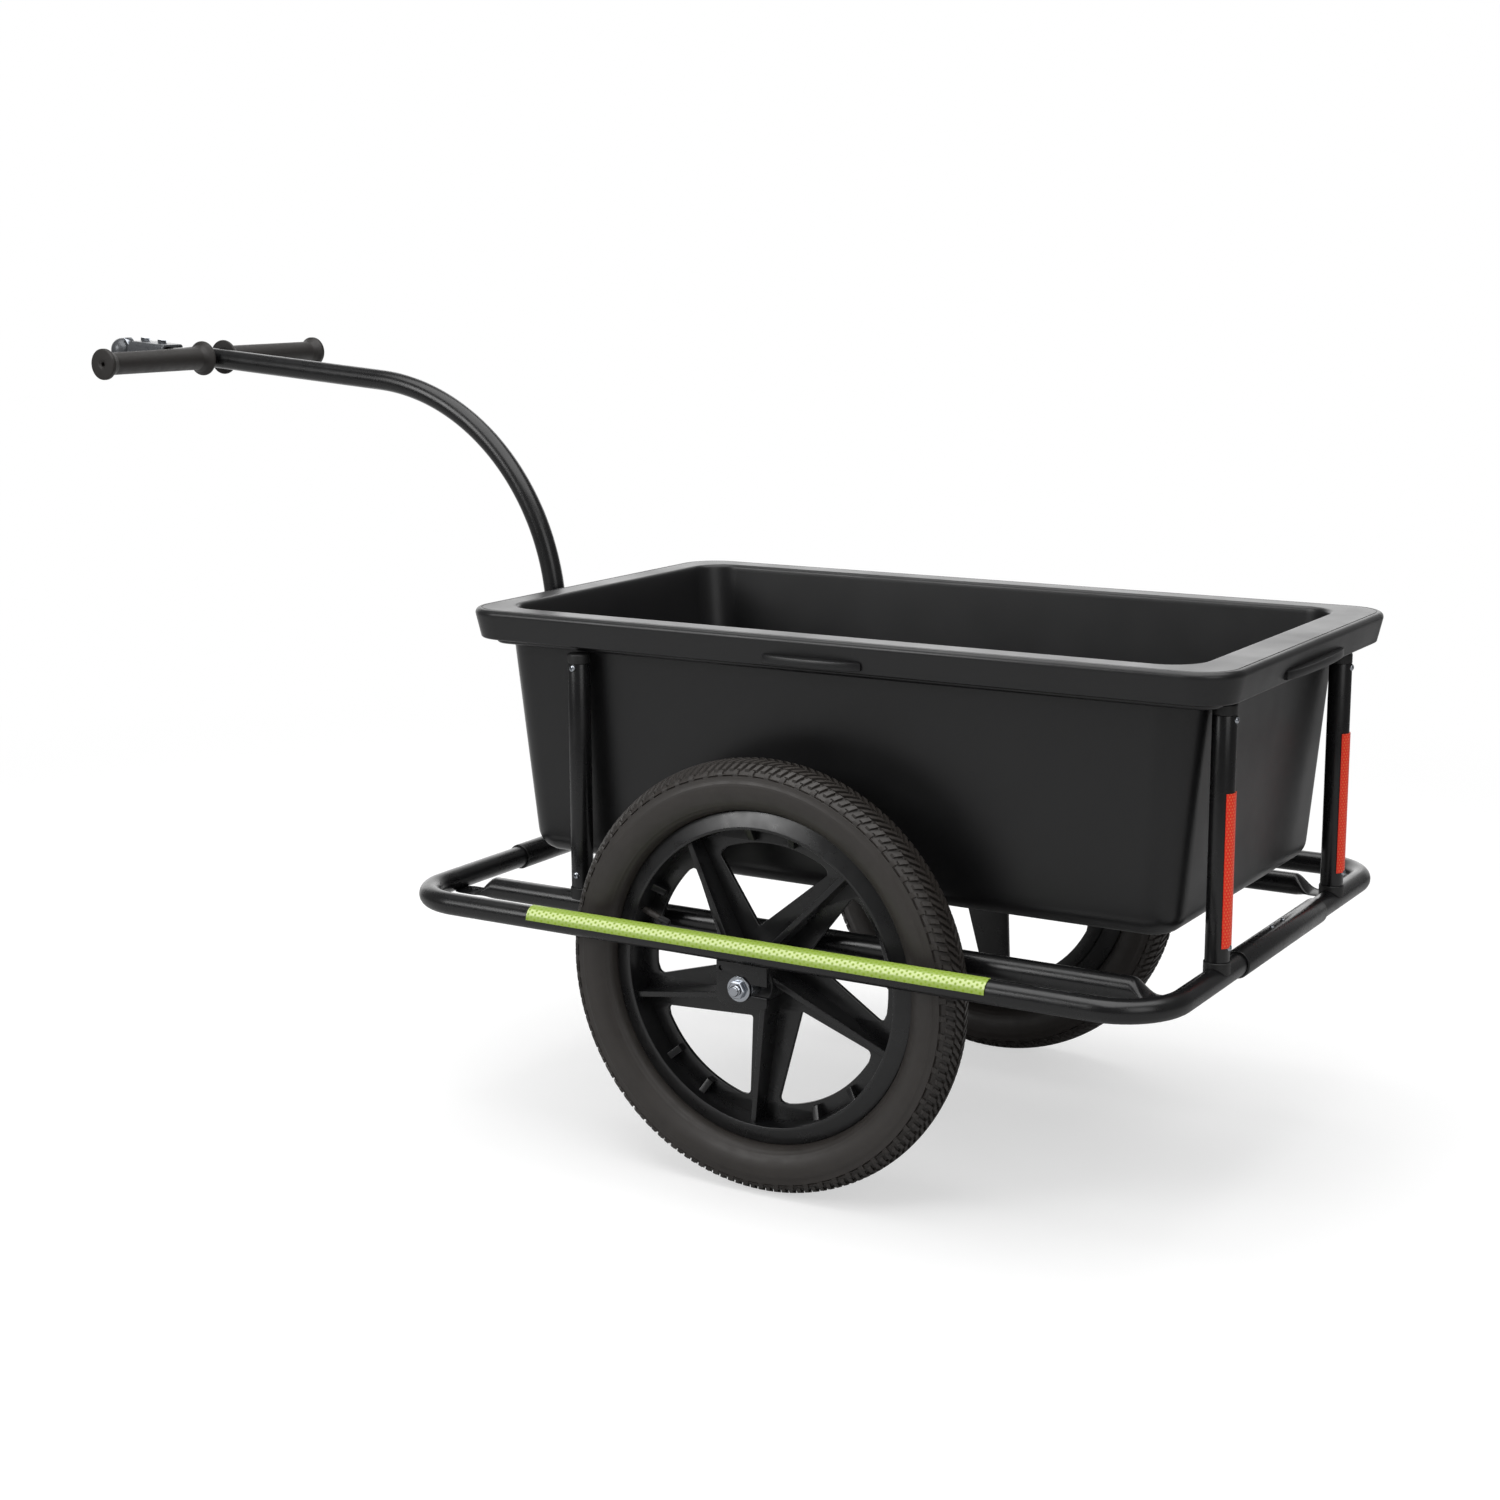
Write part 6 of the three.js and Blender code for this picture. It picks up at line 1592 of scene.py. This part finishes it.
class TRAILER_OT_studio(bpy.types.Operator):
    """Set up the camera at the photograph's angle, the pale floor and the soft studio light"""

    bl_idname = "trailer.studio"
    bl_label = "Studio"

    def execute(self, context):
        studio = context.scene.trailer_studio
        self.camera(context, studio)
        self.world(context, studio)
        self.floor(context)
        middle = (CAD_BOX[0] + CAD_BOX[1]) / 2
        self.lamp(context, "overhead_box", (-0.35, 0.2, 2.7), middle, (3.2, 3.2), studio.top)
        self.lamp(context, "back_panel", (1.9, -3.1, 1.35), (-0.33, 0, 0.5), (5.0, 2.4), studio.back)
        self.lamp(context, "side_box", (-2.6, 1.6, 1.6), (-0.3, 0.1, 0.35), (1.6, 1.6), studio.side)
        self.lamp(context, "front_box", (1.5, 2.9, 1.8), (-0.3, 0.25, 0.3), (1.4, 1.4), studio.front)
        context.scene.view_settings.view_transform = "Standard"
        return {"FINISHED"}

    def camera(self, context, studio):
        yaw, pitch, roll = studio.heading, studio.dip, studio.roll
        ahead = Vector((cos(yaw) * cos(pitch), sin(yaw) * cos(pitch), -sin(pitch)))
        right = ahead.cross(UP).normalized()
        up = right.cross(ahead)
        across = right * cos(roll) + up * sin(roll)
        upright = up * cos(roll) - right * sin(roll)
        data = bpy.data.cameras.new("camera")
        data.sensor_width = 36
        data.lens = studio.lens
        camera = bpy.data.objects.new("camera", data)
        context.scene.collection.objects.link(camera)
        place = shift(studio.camera_x, studio.camera_y, studio.camera_z)
        camera.matrix_world = place @ Matrix((across, upright, -ahead)).transposed().to_4x4()
        context.scene.camera = camera

    def white_rays(self, material, place):
        """Picks the rays that see white: the camera's, and mirrored ones that meet the backdrop."""
        path = add_node(material, "ShaderNodeLightPath")
        mirrored = add_node(
            material, "ShaderNodeMath", {"operation": "MAXIMUM"},
            links={0: path.outputs["Is Glossy Ray"], 1: path.outputs["Is Transmission Ray"]})
        way = add_node(material, "ShaderNodeVectorMath", {"operation": "NORMALIZE"}, links={0: place})
        facing = add_node(
            material, "ShaderNodeVectorMath", {"operation": "DOT_PRODUCT"}, {1: BACKDROP_WAY},
            {0: way.outputs[0]})
        # Cosines of the angles off the backdrop's middle at which its white ends and is full
        end, full = 0.64, 0.92
        backdrop = add_node(
            material, "ShaderNodeMapRange", {"interpolation_type": "SMOOTHSTEP"},
            {"From Min": end, "From Max": full, "To Min": 0.0, "To Max": 1.0},
            {"Value": facing.outputs["Value"]})
        held = add_node(
            material, "ShaderNodeMath", {"operation": "MULTIPLY"},
            links={0: mirrored.outputs[0], 1: backdrop.outputs[0]})
        return add_node(
            material, "ShaderNodeMath", {"operation": "MAXIMUM"},
            links={0: path.outputs["Is Camera Ray"], 1: held.outputs[0]}).outputs[0]

    def world(self, context, studio):
        # White behind everything, for the camera and in reflections, while the light itself stays dim
        world = bpy.data.worlds.new("studio surroundings")
        world.use_nodes = True
        world.node_tree.nodes.clear()
        plain = add_node(
            world, "ShaderNodeBackground", values={"Color": WHITE, "Strength": studio.world})
        white = add_node(world, "ShaderNodeBackground", values={"Color": WHITE, "Strength": 1.0})
        direction = add_node(world, "ShaderNodeTexCoord").outputs["Generated"]
        mix = add_node(world, "ShaderNodeMixShader", links={
            0: self.white_rays(world, direction), 1: plain.outputs[0], 2: white.outputs[0]})
        add_node(world, "ShaderNodeOutputWorld", links={"Surface": mix.outputs[0]})
        context.scene.world = world

    def floor(self, context):
        material, shader = patched_finish("floor")
        # Away from the trailer and its shadow the floor turns into the white of the backdrop, in metres
        near_end, far_start = 0.9, 2.4
        place = add_node(material, "ShaderNodeTexCoord").outputs["Object"]
        spread = add_node(material, "ShaderNodeVectorMath", {"operation": "LENGTH"}, links={0: place})
        far = add_node(
            material, "ShaderNodeMapRange", {"interpolation_type": "SMOOTHSTEP"},
            {"From Min": near_end, "From Max": far_start, "To Min": 0.0, "To Max": 1.0},
            {"Value": spread.outputs["Value"]})
        white = self.white_rays(material, place)
        amount = add_node(
            material, "ShaderNodeMath", {"operation": "MULTIPLY"}, links={0: far.outputs[0], 1: white})
        glow = add_node(material, "ShaderNodeEmission", values={"Color": WHITE, "Strength": 1.0})
        # The near floor looks paler than its paint to the same rays, and still shows the shadow
        lift = add_node(material, "ShaderNodeMath", {"operation": "MULTIPLY"}, {1: 0.56}, {0: white})
        pale = add_node(
            material, "ShaderNodeEmission", values={"Color": WHITE}, links={"Strength": lift.outputs[0]})
        near = add_node(
            material, "ShaderNodeAddShader", links={0: shader.outputs[0], 1: pale.outputs[0]})
        mix = add_node(
            material, "ShaderNodeMixShader", links={
                0: amount.outputs[0], 1: near.outputs[0], 2: glow.outputs[0]})
        output = next(node for node in material.node_tree.nodes if node.type == "OUTPUT_MATERIAL")
        link(material, mix.outputs[0], output.inputs["Surface"])
        disc = Shape().loft([
            [(x - 0.3, y, 0) for x, y in circle(radius, 96)] for radius in (0.5, 2, 6, 20)])
        # The outermost ring needs no face of its own
        disc.faces = [face for face in disc.faces if len(face) == 4 or 0 in face]
        floor = bpy.data.objects.new("floor", finish_mesh("floor", disc))
        context.scene.collection.objects.link(floor)
        floor.data.materials.append(material)

    def lamp(self, context, name, place, target, size, power):
        data = bpy.data.lights.new(name, "AREA")
        data.shape = "RECTANGLE"
        data.size, data.size_y = size
        data.energy = power
        lamp = bpy.data.objects.new(name, data)
        # The lamps light the trailer but don't show in the picture themselves
        lamp.visible_camera = False
        context.scene.collection.objects.link(lamp)
        way = Vector(target) - Vector(place)
        lamp.matrix_world = Matrix.Translation(place) @ way.to_track_quat("-Z", "Y").to_matrix().to_4x4()


class TRAILER_PT_sidebar(bpy.types.Panel):
    bl_idname = "TRAILER_PT_sidebar"
    bl_label = "Bike trailer"
    bl_space_type = "VIEW_3D"
    bl_region_type = "UI"
    bl_category = "Trailer"

    def draw(self, context):
        for operator in OPERATORS:
            self.layout.operator(operator.bl_idname)
        for name, group in GROUPS.items():
            box = self.layout.box()
            box.label(text=name.replace("trailer_", "").replace("_", " ").capitalize())
            sizes = getattr(context.scene, name)
            for field in group.__annotations__:
                box.prop(sizes, field)


OPERATORS = (
    TRAILER_OT_frame_tubes, TRAILER_OT_brackets, TRAILER_OT_posts, TRAILER_OT_wheels, TRAILER_OT_tyres,
    TRAILER_OT_axles, TRAILER_OT_tub, TRAILER_OT_tow_bar, TRAILER_OT_coupling, TRAILER_OT_films,
    TRAILER_OT_studio)
GROUPS = {
    "trailer_frame": TrailerFrameSizes,
    "trailer_wheel": TrailerWheelSizes,
    "trailer_tyre": TrailerTyreSizes,
    "trailer_tub": TrailerTubSizes,
    "trailer_tow_bar": TrailerTowBarSizes,
    "trailer_coupling": TrailerCouplingSizes,
    "trailer_film": TrailerFilmSizes,
    "trailer_finishes": TrailerFinishes,
    "trailer_studio": TrailerStudio,
}


def register():
    for group in GROUPS.values():
        bpy.utils.register_class(group)
    for name, group in GROUPS.items():
        setattr(bpy.types.Scene, name, bpy.props.PointerProperty(type=group))
    for operator in OPERATORS:
        bpy.utils.register_class(operator)
    bpy.utils.register_class(TRAILER_PT_sidebar)


def unregister():
    bpy.utils.unregister_class(TRAILER_PT_sidebar)
    for operator in reversed(OPERATORS):
        bpy.utils.unregister_class(operator)
    for name in GROUPS:
        delattr(bpy.types.Scene, name)
    for group in reversed(GROUPS.values()):
        bpy.utils.unregister_class(group)


def main():
    register()
    for operator in OPERATORS:
        section, name = operator.bl_idname.split(".")
        getattr(getattr(bpy.ops, section), name)()


if __name__ == "__main__":
    main()
